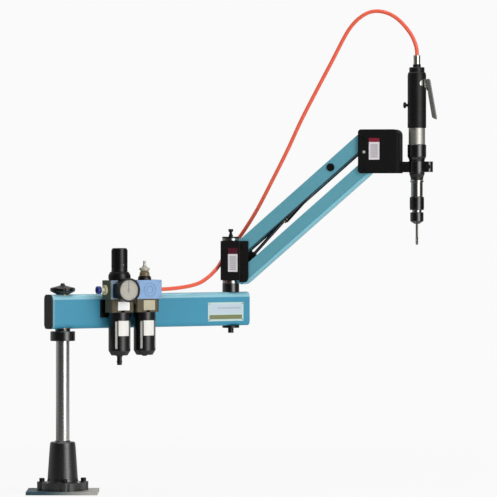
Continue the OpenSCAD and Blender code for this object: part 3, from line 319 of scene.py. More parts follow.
def paint(name, colour, roughness=0.38, grain=0.00003, gloss=0.5, coat=0.0):
    """Powder coat: a fine orange peel, with a faint cloud in its colour."""
    made = Finish(name, colour, roughness, also={
        "Specular IOR Level": gloss, "Coat Weight": coat, "Coat Roughness": 0.15,
    })
    cloud = made.noise(9, 3)
    made.set("Base Color", made.mix(cloud, shaded(colour, 0.94), shaded(colour, 1.06)))
    made.set("Roughness", roughness - 0.04 + 0.08 * made.noise(60, 2))
    return made.bumps(made.noise(1400, 2), grain)


def metal(name, colour, roughness, lines=(1, 1, 1), depth=0.000004, metallic=1.0):
    """Worked metal: fine lines along the way it was turned or brushed."""
    made = Finish(name, colour, roughness, metallic)
    streaks = made.noise(700, 3, lines)
    made.set("Roughness", roughness * (0.85 + 0.3 * streaks))
    made.set("Base Color", made.mix(streaks, shaded(colour, 0.95), shaded(colour, 1.03)))
    return made.bumps(streaks, depth)


def plastic(name, colour, roughness, grain=0.00001, gloss=0.5):
    """Moulded plastic: a fine matt grain and slow changes of sheen."""
    made = Finish(name, colour, roughness, also={"Specular IOR Level": gloss})
    made.set("Roughness", roughness - 0.04 + 0.08 * made.noise(45, 2))
    made.set("Base Color", made.mix(made.noise(30, 3), shaded(colour, 0.92), shaded(colour, 1.08)))
    return made.bumps(made.noise(2500, 2), grain)


def printed(name, colour, roughness=0.45):
    """Print or paper, as smooth as a label."""
    return plastic(name, colour, roughness, PRINT_GRAIN, 0.3)


def clear(name, colour, roughness, alpha):
    """Clear plastic, a little clouded."""
    made = Finish(name, colour, roughness, also={"Coat Weight": 0.3})
    made.set("Alpha", alpha - 0.05 + 0.1 * made.noise(40, 2))
    return made


PRINT_GRAIN = 0.000003  # depth of a surface's grain, in metres
SMOOTH_GRAIN = 0.000004
MOULDED_GRAIN = 0.000006
TURNED = (0.3, 0.3, 1)  # noise drawn out round Z, into the lines of turned metal
TURNED_SHORT = (0.4, 0.4, 1)
TURNED_LONG = (0.2, 0.2, 1)
SMOOTH_DARK = rgb(6, 6, 7)
arm_blue = paint("arm_blue", rgb(63, 140, 168), 0.42, gloss=0.22)
bar_blue = paint("bar_blue", rgb(88, 149, 164), 0.42, gloss=0.25)
low_bar_blue = paint("low_bar_blue", rgb(89, 150, 165), 0.42, gloss=0.25)
cast_black = paint("cast_black", rgb(8, 8, 8), 0.36, 0.00004, gloss=1.0, coat=0.5)
block_black = paint("block_black", rgb(19, 17, 17), 0.55, gloss=0.2)
satin_black = paint("satin_black", rgb(13, 13, 13), 0.36, gloss=0.35)
box_black = paint("box_black", rgb(19, 19, 19), 0.6, gloss=0.1)
gloss_black = paint("gloss_black", SMOOTH_DARK, 0.23, SMOOTH_GRAIN, gloss=1.0, coat=0.3)
chuck_black = paint("chuck_black", SMOOTH_DARK, 0.24, SMOOTH_GRAIN, gloss=1.0, coat=0.3)
guard_black = plastic("guard_black", rgb(8, 8, 9), 0.3, gloss=0.75)
moulded_black = plastic("moulded_black", rgb(8, 8, 9), 0.32, gloss=0.55)
cap_black = plastic("cap_black", rgb(26, 26, 25), 0.5, gloss=0.4)
grip_black = plastic("grip_black", rgb(14, 14, 13), 0.42, 0.00002, gloss=0.35)
knob_black = plastic("knob_black", SMOOTH_DARK, 0.3, SMOOTH_GRAIN, gloss=0.55)
screw_black = metal("screw_black", rgb(52, 52, 54), 0.4)
plate_steel = metal("plate_steel", rgb(56, 82, 92), 0.55, (0.02, 1, 1), metallic=0.5)
column_chrome = metal("column_chrome", rgb(222, 222, 220), 0.24, TURNED, 0.0000006)
ring_chrome = metal("ring_chrome", rgb(176, 175, 171), 0.18, TURNED)
band_steel = metal("band_steel", rgb(208, 207, 198), 0.5, TURNED_LONG)
lever_chrome = metal("lever_chrome", rgb(172, 172, 166), 0.3, TURNED, metallic=0.85)
rod_dark = metal("rod_dark", rgb(150, 146, 154), 0.3, TURNED)
tap_steel = metal("tap_steel", rgb(128, 126, 120), 0.34)
turned_steel = metal("turned_steel", rgb(176, 176, 178), 0.26, TURNED_LONG)
dark_steel = metal("dark_steel", rgb(66, 65, 64), 0.34, TURNED)
nickel = metal("nickel", rgb(214, 211, 198), 0.28, TURNED_SHORT)
ring_pale = metal("ring_pale", rgb(210, 208, 176), 0.3, TURNED_SHORT, metallic=0.3)
cap_grey = plastic("cap_grey", rgb(176, 172, 156), 0.3, gloss=0.6)
seal_black = plastic("seal_black", rgb(52, 52, 36), 0.4)
gland_brass = metal("gland_brass", rgb(214, 204, 172), 0.3)
bronze = metal("bronze", rgb(150, 132, 100), 0.4)
label_white = printed("label_white", rgb(250, 249, 248))
tag_white = printed("tag_white", rgb(207, 203, 207))
label_cream = printed("label_cream", rgb(184, 178, 152))
guard_print = printed("guard_print", rgb(226, 224, 218))
label_red = printed("label_red", rgb(122, 24, 44), 0.42)
label_maroon = printed("label_maroon", rgb(76, 18, 34), 0.42)
label_grey = printed("label_grey", rgb(112, 106, 114))
# a dark sheet: painted shade and reflection of the gauge on the regulator's front
cover_navy = plastic("cover_navy", rgb(26, 44, 66), 0.3, MOULDED_GRAIN, gloss=0.4)
cover_blue = plastic("cover_blue", rgb(118, 152, 190), 0.34, MOULDED_GRAIN, gloss=0.4)
collar_blue = plastic("collar_blue", rgb(28, 44, 122), 0.3)
dial_paper = printed("dial_paper", rgb(158, 150, 130), 0.55)
needle_black = plastic("needle_black", rgb(16, 16, 16), 0.45, PRINT_GRAIN)
hose_orange = plastic("hose_orange", rgb(226, 94, 68), 0.3, SMOOTH_GRAIN, gloss=0.45)
clear_bowl = clear("clear_bowl", rgb(232, 231, 226), 0.2, 0.88)
sight_strip = plastic("sight_strip", rgb(178, 176, 172), 0.2, PRINT_GRAIN)
clear_dome = clear("clear_dome", rgb(128, 112, 84), 0.1, 0.72)
gauge_glass = clear("gauge_glass", rgb(244, 244, 240), 0.05, 0.14)


END_BAND = 5
BAR_HALF = 18.5


def finish_arm():
    """Painted highlights: the coat is paler on the tube's rolled top corners, which are also
    glossier, and paler along its end by the end cap.
    """
    along, _, height = arm_blue.within(ARM)
    # painted highlight: a paler band on the tube's end, beside the end cap
    end = 0.4 - 0.4 * arm_blue.above(along, TUBE_END + END_BAND, END_BAND / 2)
    arm_blue.paint_over(end, rgb(150, 176, 178))
    # painted highlight: paler paint on the rolled top corner
    corner = arm_blue.above(height, TUBE_TOP - TUBE_CORNER - 0.5, 1.6)
    arm_blue.paint_over(corner, rgb(134, 188, 203))
    arm_blue.set("Coat Weight", 0.9 * corner)


def finish_bars():
    """Painted shade along the foot of the upper bar; along the lower bar's foot, a painted
    highlight with a painted shade line above it.
    """
    up = bar_blue.within(HIGH_BAR)[2] + BAR_HALF
    # painted shade: the upper bar darker along its bottom 3 mm
    bar_blue.paint_over(1 - bar_blue.above(up, 3.0, 1.0), rgb(40, 62, 70))
    up = low_bar_blue.within(LOW_BAR)[2] + BAR_HALF
    # painted highlight: the lower bar paler along its bottom lip
    low_bar_blue.paint_over(1 - low_bar_blue.above(up, 5.6, 0.6), rgb(126, 188, 203))
    # painted shade: a darker line above that highlight
    low_bar_blue.paint_over(low_bar_blue.between(up, 5.8, 7.4, 0.5), rgb(76, 136, 152))


def body_cast(name, face, face_from):
    """Die-cast body: olive sides and neck, and a painted front."""
    made = metal(name, rgb(66, 71, 56), 0.44, depth=0.00001, metallic=0.2)
    x, y, z = made.within(ARM)
    neck = 1 - made.above(z, BODY_Z, 0.5)
    made.paint_over(neck, rgb(78, 72, 50))
    front = (1 - made.above(y, UNIT_FRONT + 1.5, 1.0)) * made.above(x, face_from, 0.6)
    made.paint_over(front * (1 - neck), face)
    return made


regulator_cast = body_cast("regulator_cast", rgb(128, 148, 166), SHADE_SHEET_LEFT - 5.2)
lubricator_cast = body_cast("lubricator_cast", rgb(130, 163, 202), 0)
finish_arm()
finish_bars()


def finish_name_plate():
    """A pale printed plate: a border, a blank field with one band, and a plain olive band."""
    made = printed("plate_print", rgb(182, 208, 202), 0.4)
    x, _, z = made.within(ARM)
    across = made.between(x, PLATE_LEFT + 4, PLATE_RIGHT - 4)
    made.paint_over(across * made.between(z, PLATE_Z + 19, PLATE_TOP - 4), rgb(182, 197, 207))
    line = made.between(x, PLATE_LEFT + 28, PLATE_RIGHT - 8)
    made.paint_over(line * made.between(z, PLATE_Z + 31, PLATE_Z + 36), rgb(164, 178, 192))
    made.paint_over(across * made.between(z, PLATE_Z + 5, PLATE_Z + 16), rgb(120, 124, 84))
    return made


plate_print = finish_name_plate()


def finish_base():
    """The plate's zinc is blue-grey; a painted reflection pales it towards the right end."""
    # painted reflection: the plate paler towards its right end
    painted_reflection = plate_steel.above(plate_steel.within(WORLD)[0], 20, 70)
    plate_steel.paint_over(painted_reflection, rgb(190, 188, 180))


finish_base()


def finish_head_screws():
    """One bright screw in the head box, and a blackened one in the clamp."""
    made = metal("screw_bright", rgb(220, 220, 218), 0.3, metallic=0.55)
    at_clamp = made.above(made.within(LINK)[0], TOOL_X - 40, 1.0)
    made.paint_over(at_clamp, rgb(40, 40, 42))
    made.set("Roughness", 0.3 + 0.15 * at_clamp)
    return made


screw_bright = finish_head_screws()


# ---- meshes and pieces ----
CAD = frame["nodes"]
WELD = 0.003 * MM  # corners closer than this are one
FLAT_ANGLE = 0.6  # faces that turn by less than these degrees are one flat face
EDGE_ANGLE = 30  # edges that turn by more than these degrees are broken
SHARP_ANGLE = 32  # the same, for sharp shading before the edges are broken
ROUND_ANGLE = 50  # and for sharp shading after


def smooth(mesh, angle=SHARP_ANGLE):
    """Smooth shading, and sharp edges where the surface turns by more than angle."""
    for name in ("custom_normal", "sharp_face"):
        if mesh.attributes.get(name):
            mesh.attributes.remove(mesh.attributes[name])
    mesh.shade_smooth()
    mesh.set_sharp_from_angle(angle=math.radians(angle))


def piece(name, mesh, body, finish, stands_for=()):
    """A finished mesh, already in place, as a piece that rides on a body."""
    mesh.materials.clear()
    mesh.materials.append(finish.material)
    made = in_scene(name, mesh)
    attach(made, body)
    if stands_for:
        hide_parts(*stands_for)


def mesh_from(shape, name):
    mesh = bpy.data.meshes.new(name)
    shape.to_mesh(mesh)
    shape.free()
    return mesh


def mesh_of(shapes, name, place):
    """Shapes in millimetres as one mesh, put in place in the shared frame."""
    whole = bmesh.new()
    for shape in shapes:
        bmesh.ops.recalc_face_normals(shape, faces=shape.faces)
        part = mesh_from(shape, name)
        whole.from_mesh(part)
        bpy.data.meshes.remove(part)
    whole.transform(place @ TO_METRES)
    return mesh_from(whole, name)


def evaluated(carrier):
    """What an object comes to with its modifiers, as a plain mesh. The object goes."""
    graph = bpy.context.evaluated_depsgraph_get()
    made = bpy.data.meshes.new_from_object(carrier.evaluated_get(graph), depsgraph=graph)
    bpy.data.objects.remove(carrier)
    return made


def applied(mesh, kind, **settings):
    """The mesh with one modifier applied to it."""
    carrier = in_scene("carrier", mesh)
    modifier = carrier.modifiers.new(kind, kind)
    for key, setting in settings.items():
        setattr(modifier, key, setting)
    return evaluated(carrier)


def rounded_edges(mesh, width, segments=2):
    """Edges broken to a small radius, with the flat faces still shaded flat."""
    mesh = applied(
        mesh, "BEVEL", width=width * MM, segments=segments, limit_method="ANGLE",
        angle_limit=math.radians(EDGE_ANGLE),
    )
    smooth(mesh, ROUND_ANGLE)
    return applied(mesh, "WEIGHTED_NORMAL", keep_sharp=True)


def softened(node, finish, width=0.3, segments=2):
    """A CAD node's own shape with its edges broken."""
    shape = bmesh.new()
    shape.from_mesh(CAD[node].data)
    bmesh.ops.remove_doubles(shape, verts=shape.verts, dist=WELD)
    bmesh.ops.dissolve_limit(
        shape, angle_limit=math.radians(FLAT_ANGLE), verts=shape.verts, edges=shape.edges,
    )
    mesh = mesh_from(shape, node + "_made")
    smooth(mesh)
    mesh = rounded_edges(mesh, width, segments)
    piece(node + "_made", mesh, CAD[node]["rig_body"], finish, [node])


def refinished(node, finish):
    """A CAD node that keeps its own mesh, with a better material."""
    mesh = CAD[node].data
    mesh.materials.clear()
    mesh.materials.append(finish.material)


# ---- shapes, in millimetres ----
CORNER_STEPS = 5


def lathe(profile, steps=72, start=0.0, sweep=360.0):
    """A closed outline of (radius, height) points, turned round Z through sweep degrees."""
    whole = sweep >= 360
    stops = steps if whole else steps + 1
    shape = bmesh.new()
    rings = []
    for radius, height in profile:
        if radius == 0:
            rings.append([shape.verts.new((0, 0, height))] * stops)
            continue
        rings.append([])
        for i in range(stops):
            angle = math.radians(start + sweep * i / steps)
            rings[-1].append(shape.verts.new(
                (radius * math.cos(angle), radius * math.sin(angle), height)
            ))
    for low, high in zip(rings, rings[1:] + rings[:1]):
        for i in range(steps):
            j = (i + 1) % stops
            corners = list(dict.fromkeys((low[i], low[j], high[j], high[i])))
            if len(corners) > 2:
                shape.faces.new(corners)
    if not whole:
        shape.faces.new([ring[0] for ring in rings])
        shape.faces.new([ring[-1] for ring in reversed(rings)])
    return shape


def ring(inner, outer, low, high, steps=72, start=0.0, sweep=360.0):
    profile = [(inner, low), (outer, low), (outer, high), (inner, high)]
    return lathe(profile, steps, start, sweep)


def arc(x, y, radius, start, sweep, steps):
    """Points round (x, y), from the angle start through sweep degrees."""
    angles = [math.radians(start + sweep * i / steps) for i in range(steps + 1)]
    return [(x + radius * math.cos(a), y + radius * math.sin(a)) for a in angles]


def prism(near, far):
    """A solid between two outlines that have as many points."""
    shape = bmesh.new()
    face = [shape.verts.new(point) for point in near]
    back = [shape.verts.new(point) for point in far]
    shape.faces.new(face)
    shape.faces.new(back[::-1])
    for i in range(len(face)):
        j = (i + 1) % len(face)
        shape.faces.new((face[i], back[i], back[j], face[j]))
    return shape


def plate(x0, x1, z0, z1, front, depth=0.4, corner=0.8):
    """An upright plate with rounded corners, its face at y = front, looking to -Y."""
    outline = []
    for x, z, start in (
        (x1 - corner, z0 + corner, -90), (x1 - corner, z1 - corner, 0),
        (x0 + corner, z1 - corner, 90), (x0 + corner, z0 + corner, 180),
    ):
        outline += arc(x, z, corner, start, 90, CORNER_STEPS)
    return prism([(x, front, z) for x, z in outline], [(x, front + depth, z) for x, z in outline])


def socket_screw(radius, height):
    """A socket screw's head, standing on z = 0."""
    socket, floor = radius * 0.52, height * 0.4
    return lathe([
        (0, 0), (radius, 0), (radius, height * 0.86), (radius * 0.9, height),
        (socket, height), (socket, floor), (0, floor),
    ], 32)


def rivet():
    return lathe([(0, 0), (1.9, 0), (1.7, 0.5), (1.0, 0.9), (0, 1)], 20)


def moved_shape(shape, x=0.0, y=0.0, z=0.0):
    bmesh.ops.translate(shape, verts=shape.verts, vec=(x, y, z))
    return shape


def box(x0, x1, y0, y1, z0, z1):
    shape = bmesh.new()
    bmesh.ops.create_cube(shape, size=1)
    bmesh.ops.scale(shape, verts=shape.verts, vec=(x1 - x0, y1 - y0, z1 - z0))
    return moved_shape(shape, (x0 + x1) / 2, (y0 + y1) / 2, (z0 + z1) / 2)


def bar(inner, outer, width, low, high):
    """A box that runs outwards from an axis, for a rib, a slot or a tick."""
    return box(inner, outer, -width / 2, width / 2, low, high)


def added(name, shapes, place, body, finish, slot, soft=0.0, stands_for=()):
    """A piece from shapes in its own frame, with its edges broken if soft is given."""
    mesh = mesh_of(shapes, name, place)
    smooth(mesh)
    if soft:
        mesh = rounded_edges(mesh, soft)
    piece(name, mesh, body, finish, stands_for)


# ---- Geometry Nodes: copies in a row or round an axis, and tubes ----
def shape_tree(name, inputs):
    """The nodes of a new tree, and its inputs by name."""
    tree = bpy.data.node_groups.new(name, "GeometryNodeTree")
    tree.interface.new_socket("Geometry", in_out="OUTPUT", socket_type="NodeSocketGeometry")
    for title, kind in (("Geometry", "Geometry"), *inputs, ("Material", "Material")):
        tree.interface.new_socket(title, in_out="INPUT", socket_type="NodeSocket" + kind)
    nodes = Nodes(tree)
    entrance = tree.nodes.new("NodeGroupInput")
    return nodes, {
        socket.name: Value(nodes, socket) for socket in entrance.outputs if socket.name
    }


def closed_tree(nodes, geometry, material):
    """The tree, with its end: the geometry made real and painted."""
    real = nodes.node("GeometryNodeRealizeInstances", {}, {"Geometry": geometry})
    painted = nodes.node("GeometryNodeSetMaterial", {}, {"Geometry": real, "Material": material})
    nodes.node_end("NodeGroupOutput", painted)
    return nodes.tree


def copies_tree():
    """Copies of a mesh, each shifted and turned about Z by one step more than the last."""
    nodes, given = shape_tree("copies", (
        ("Count", "Int"), ("Shift", "Vector"), ("Turn", "Float"),
    ))
    row = nodes.node("GeometryNodeMeshLine", {"mode": "OFFSET"}, {
        "Count": given["Count"], "Offset": given["Shift"],
    })
    turn = nodes.node("ShaderNodeCombineXYZ", {}, {
        "Z": nodes.node("GeometryNodeInputIndex") * given["Turn"],
    })
    placed = nodes.node("GeometryNodeInstanceOnPoints", {}, {
        "Points": row, "Instance": given["Geometry"], "Rotation": turn,
    })
    return closed_tree(nodes, placed, given["Material"])


def tube_tree():
    """A round tube along an edge path."""
    nodes, given = shape_tree("tube", (("Radius", "Float"), ("Sides", "Int")))
    path = nodes.node("GeometryNodeMeshToCurve", {}, {"Mesh": given["Geometry"]})
    section = nodes.node("GeometryNodeCurvePrimitiveCircle", {}, {
        "Resolution": given["Sides"], "Radius": given["Radius"],
    })
    tube = nodes.node("GeometryNodeCurveToMesh", {}, {
        "Curve": path, "Profile Curve": section, "Fill Caps": True,
    })
    return closed_tree(nodes, tube, given["Material"])


COPIES = copies_tree()
TUBE = tube_tree()


def grown(tree, mesh, values):
    """What a tree makes of a mesh, as a plain mesh."""
    carrier = in_scene("carrier", mesh)
    modifier = carrier.modifiers.new("shape", "NODES")
    modifier.node_group = tree
    for item in tree.interface.items_tree:
        if item.in_out == "INPUT" and item.name in values:
            modifier[item.identifier] = values[item.name]
    return evaluated(carrier)


def repeated(name, shapes, place, body, finish, slot, count, shift=(0, 0, 0), turn=0.0):
    """A piece from shapes in its own frame, count times, each shifted and turned on."""
    mesh = grown(COPIES, mesh_of(shapes, name, TO_METRES.inverted()), {
        "Count": count, "Shift": shift, "Turn": math.radians(turn), "Material": finish.material,
    })
    mesh.transform(place @ TO_METRES)
    smooth(mesh)
    piece(name, mesh, body, finish)


# ---- hose: its route in the shared frame, in millimetres ----
HOSE_ROUTE = [
    (234.8, 73.2, 508), (248, 80.8, 508), (262, 90, 508.4), (288, 114, 510.5),
    (316, 145, 514.5), (340, 175, 521.5), (360, 203, 534), (375, 226, 547.5), (387, 248, 561.5),
    (396.3, 270.4, 577), (408.2, 285.6, 596), (429, 289, 620), (452.5, 283, 652), (486, 268, 706),
    (526, 252, 783), (564.5, 238, 860), (600, 226, 937), (639, 214, 1013), (679, 200, 1089),
    (705, 190, 1140), (723, 184, 1170), (743, 176, 1192), (768, 168, 1208), (793, 160, 1212),
    (819, 152, 1206), (841, 146, 1193), (861, 141, 1173), (878, 136.5, 1149),
    (887.5, 134, 1127), (891.02, 133.06, 1110), (891.02, 133.06, 1100), (891.02, 133.06, 1090),
]
HOSE_RADIUS = 4.88
HOSE_SIDES = 28
HOSE_STEPS = 6  # from one point of the route to the next
ELBOW_POINT, BAR_POINT, LAST_POINT = 10, 12, len(HOSE_ROUTE) - 1


def smooth_line(points, steps):
    """A Catmull-Rom curve through the points."""
    def at(i):
        return Vector(points[max(0, min(len(points) - 1, i))])

    line = []
    for i in range(len(points) - 1):
        a, b, c, d = at(i - 1), at(i), at(i + 1), at(i + 2)
        for j in range(steps):
            t = j / steps
            line.append(0.5 * (
                2 * b + (c - a) * t + (2 * a - 5 * b + 4 * c - d) * t * t
                + (3 * b - a - 3 * c + d) * t * t * t
            ))
    return line + [at(len(points) - 1)]


hose_line = smooth_line(HOSE_ROUTE, HOSE_STEPS)


def hose_piece(name, first, last, stands_for=()):
    """The hose between two points of its route."""
    line = [point * MM for point in hose_line[first * HOSE_STEPS:last * HOSE_STEPS + 1]]
    path = bpy.data.meshes.new(name)
    path.from_pydata(line, [(i, i + 1) for i in range(len(line) - 1)], [])
    mesh = grown(TUBE, path, {
        "Radius": HOSE_RADIUS * MM, "Sides": HOSE_SIDES, "Material": hose_orange.material,
    })
    smooth(mesh, ROUND_ANGLE)
    made = in_scene(name, mesh)
    if stands_for:
        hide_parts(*stands_for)
    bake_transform(made)
    length = sum((b - a).length for a, b in zip(line, line[1:]))


hose_piece("hose_at_arm", 0, ELBOW_POINT, stands_for=["hose_lower"])
hose_piece("hose_at_bar", ELBOW_POINT, BAR_POINT)
hose_piece(
    "hose_at_tool", BAR_POINT, LAST_POINT, ["hose_upper"],
)


# ---- stand ----
softened("base_plate", plate_steel, 0.6)
softened("column_socket", cast_black, 1.2, 3)
softened("stand_screws", screw_black, 0.5)
softened("column", column_chrome)
softened("column_collar", gloss_black, 0.4)
softened("thrust_ring", gloss_black)
softened("lock_knob", knob_black, 1.0, 3)

# ---- lower arm ----
RIVET_INSET = 3.5
RIVET_COLUMNS, RIVET_ROWS = 97, 41

softened("arm_tube", arm_blue, 0.5)
softened("end_caps", cap_black, 0.8)
refinished("arm_bushes", bronze)
softened("elbow_spacer", gloss_black, 0.4)
softened("elbow_rings", ring_chrome, 0.8, 3)
softened("elbow_fasteners", moulded_black)
softened("elbow_pin", turned_steel)
softened("grease_nipple", screw_black)
softened("name_plate", plate_print, 0.2, 1)
repeated(
    "plate_rivets", [rivet(), moved_shape(rivet(), 0, RIVET_ROWS)],
    ARM @ moved(PLATE_LEFT + RIVET_INSET, PLATE_FRONT, PLATE_Z + RIVET_INSET) @ FRONT,
    "lower_arm", turned_steel, "bright_steel", 2, (RIVET_COLUMNS, 0, 0),
)

# ---- air service unit ----
REGULATOR = ARM @ moved(REGULATOR_X, UNIT_Y)
LUBRICATOR = ARM @ moved(LUBRICATOR_X, UNIT_Y)
BRACKET_SCREW = (100, -25, 445)
BRACKET_PITCH = 30
BODY_SCREW_X = 176
BODY_SCREW_COLUMNS, BODY_SCREW_ROWS = 60.5, 37
OILER_RINGS = ARM @ moved(208, UNIT_FRONT, PORT_Z) @ FRONT
INLET = ARM @ moved(REGULATOR_X - 44, UNIT_Y, PORT_Z) @ turned(90, "Y")
REGULATOR_LABEL = (118.2, 151, 456.7, 478.4)  # left, right, low, high
OILER_LABEL = (191.2, 223.4, 456.4, 481.4)
GUARD_LABEL = (393, 431)  # low, high
LABEL_START, LABEL_SWEEP = -123, 61  # degrees round each bowl's guard
GRIP_Z = 355
GRIP_PITCH = 4.2
DRAIN_R = 6.2
DRAIN_NUT_R = 7.2
DRAIN_TOP = GUARD_Z + 14
RIBS = 28
KNOB_RIBS = 30
UNIT_TRIM = ("lower_arm", moulded_black, "black_plastic")
KNOB_TRIM = ("regulator_knob", moulded_black, "black_plastic")

softened("unit_bracket", satin_black, 0.5)
repeated(
    "bracket_screws", [socket_screw(4.4, 3.2)], ARM @ moved(*BRACKET_SCREW) @ FRONT,
    "lower_arm", screw_black, "black_screw", 2, (0, BRACKET_PITCH, 0),
)
softened("regulator_body", regulator_cast, 0.8)
softened("lubricator_body", lubricator_cast, 0.8)
softened("unit_rings", moulded_black, 0.4)
softened("bowl_guards", guard_black)
refinished("air_bowls", clear_bowl)
softened("gauge_case", satin_black, 0.6)
softened("air_fittings", ring_pale, 0.4)
softened("inlet_collar", collar_blue, 0.8)
softened("oil_screw", nickel, 0.2)
refinished("gauge_dial", dial_paper)
refinished("gauge_needle", needle_black)

# A dark navy sheet on the regulator's front: painted shade and reflection of the gauge.
added("gauge_shade_sheet", [
    plate(SHADE_SHEET_LEFT, SHADE_SHEET_RIGHT, BODY_Z + 3, BODY_TOP - 8, UNIT_FRONT - 0.9, 1, 3),
], ARM, "lower_arm", cover_navy, "unit_grey", 0.3)
added("oiler_rings", [
    ring(15.4, 17.4, 0, 0.8), ring(8.2, 9.4, 0, 0.8),
], OILER_RINGS, "lower_arm", cover_blue, "unit_grey", 0.3)
repeated(
    "body_screws",
    [socket_screw(2.2, 1), moved_shape(socket_screw(2.2, 1), 0, BODY_SCREW_ROWS)],
    ARM @ moved(BODY_SCREW_X, UNIT_FRONT, BODY_Z + 5) @ FRONT,
    "lower_arm", cover_blue, "unit_grey", 2, (BODY_SCREW_COLUMNS, 0, 0),
)
repeated(
    "bonnet_ribs", [bar(26.6, 27.9, 1.8, BODY_TOP + 2.5, BODY_TOP + 13)], REGULATOR,
    *UNIT_TRIM, RIBS, turn=360 / RIBS,
)
added("knob_mark", [
    plate(-1.8, 1.8, KNOB_Z + 15, KNOB_Z + 18.6, -KNOB_R - 0.1, 1.2, 0.4),
], REGULATOR, "regulator_knob", label_grey, "black_plastic")
for name, edges, finish in (
    ("neck_labels", REGULATOR_LABEL, label_white), ("oiler_label", OILER_LABEL, label_cream),
):
    added(name, [plate(*edges, LABEL_FRONT)], ARM, "lower_arm", finish, "name_plate")
for name, unit in (("regulator", REGULATOR), ("oiler", LUBRICATOR)):
    added(name + "_guard_label", [
        ring(GUARD_R, GUARD_R + 0.3, *GUARD_LABEL, 24, LABEL_START, LABEL_SWEEP),
    ], unit, "lower_arm", guard_print, "name_plate")
    repeated(
        name + "_windows", [bar(GUARD_R - 4, GUARD_R - 0.7, 5.8, GUARD_Z + 17, GUARD_TOP - 22.5)],
        unit @ turned(45), "lower_arm", sight_strip, "bowl_clear", 4, turn=90,
    )
    repeated(
        name + "_grip", [ring(GUARD_R - 0.3, GUARD_R + 0.5, 0, 1.8, 20, LABEL_START, LABEL_SWEEP)],
        unit @ moved(0, 0, GRIP_Z), "lower_arm", guard_black, "guard_black", 9, (0, 0, GRIP_PITCH),
    )
added("drain_valves_made", [
    lathe([
        (0, GUARD_Z - 24.4), (5.4, GUARD_Z - 24.4), (DRAIN_R, GUARD_Z - 23.6),
        (DRAIN_R, GUARD_Z - 18), (DRAIN_NUT_R, GUARD_Z - 17.4), (DRAIN_NUT_R, GUARD_Z - 14.6),
        (DRAIN_R, GUARD_Z - 14), (DRAIN_R, GUARD_Z - 4), (8.6, GUARD_Z - 1.6), (8.6, GUARD_Z + 1),
        (DRAIN_R, GUARD_Z + 1), (DRAIN_R, DRAIN_TOP), (0, DRAIN_TOP),
    ], 48),
    moved_shape(lathe([
        (0, GUARD_Z - 2.9), (5.2, GUARD_Z - 2.9), (DRAIN_R, GUARD_Z - 2), (DRAIN_R, DRAIN_TOP),
        (0, DRAIN_TOP),
    ], 48), LUBRICATOR_X - REGULATOR_X),
], REGULATOR, *UNIT_TRIM, 0.2, ["drain_valves"])
added("regulator_knob_made", [lathe([
    (KNOB_BORE_R, KNOB_Z), (KNOB_R, KNOB_Z), (KNOB_R, KNOB_Z + 5.6), (19.9, KNOB_Z + 7),
    (19.5, KNOB_TOP - 4), (18.4, KNOB_TOP - 1), (16.4, KNOB_TOP), (0, KNOB_TOP),
    (0, KNOB_Z + 24), (KNOB_BORE_R, KNOB_Z + 24),
])], REGULATOR, *KNOB_TRIM, 0.4, ["regulator_knob"])
repeated(
    "knob_ribs", [bar(19.2, 20.35, 2.2, KNOB_Z + 8, KNOB_TOP - 4.4)], REGULATOR,
    *KNOB_TRIM, KNOB_RIBS, turn=360 / KNOB_RIBS,
)
added("inlet_seal", [ring(6.4, 9.6, 3, 4, 48)], INLET, "lower_arm", seal_black, "black_plastic")

# ---- sight dome ----
DOME_Z = BODY_TOP + 3
DOME_R = 13
DOME_BORE_R = 10.9
FEED_R = 3.8
CAP_RIBS = 20

added("dome_shell", [lathe([
    (DOME_BORE_R, DOME_Z + 1), (DOME_R, DOME_Z + 1), (DOME_R, DOME_Z + 12), (12.2, DOME_Z + 15.6),
    (10, DOME_Z + 19.2), (8.2, DOME_Z + 19.8), (8.2, DOME_Z + 18.2), (DOME_BORE_R, DOME_Z + 12),
])], LUBRICATOR, "lower_arm", clear_dome, "dome_clear", 0.3, ["sight_dome"])
added("dome_cap", [lathe([
    (FEED_R, DOME_Z + 18), (8.4, DOME_Z + 18), (9.6, DOME_Z + 20), (12.4, DOME_Z + 20.8),
    (12.6, DOME_Z + 26.6), (11, DOME_Z + 28), (7, DOME_Z + 28.6), (7, DOME_Z + 31),
    (FEED_R, DOME_Z + 31),
])], LUBRICATOR, "lower_arm", cap_grey, "nickel", 0.3)
repeated(
    "dome_cap_ribs", [bar(12.1, 13.1, 1.6, DOME_Z + 21.4, DOME_Z + 26.4)], LUBRICATOR,
    "lower_arm", cap_grey, "nickel", CAP_RIBS, turn=360 / CAP_RIBS,
)
added("feed_tube", [
    ring(FEED_R, 5.4, DOME_Z + 1, DOME_Z + 18.4, 32), ring(5, 8.6, DOME_Z + 0.6, DOME_Z + 6, 32),
], LUBRICATOR, "lower_arm", gland_brass, "nickel", 0.3)

# ---- gauge: its scale runs through 270 degrees, from 0 at the lower left to 10 ----
GLASS_R = 25.3
SCALE_R = 23.4
SCALE_START, SCALE_SWEEP = -45, 270
INK_T = 0.12
INK = ("lower_arm", needle_black, "needle_black")
NUMBER_R = 15.8
NUMBER_Z = 0.07
NUMBER_SIZE = 5.2
LAST_NUMBER, NUMBER_STEP = 10, 2

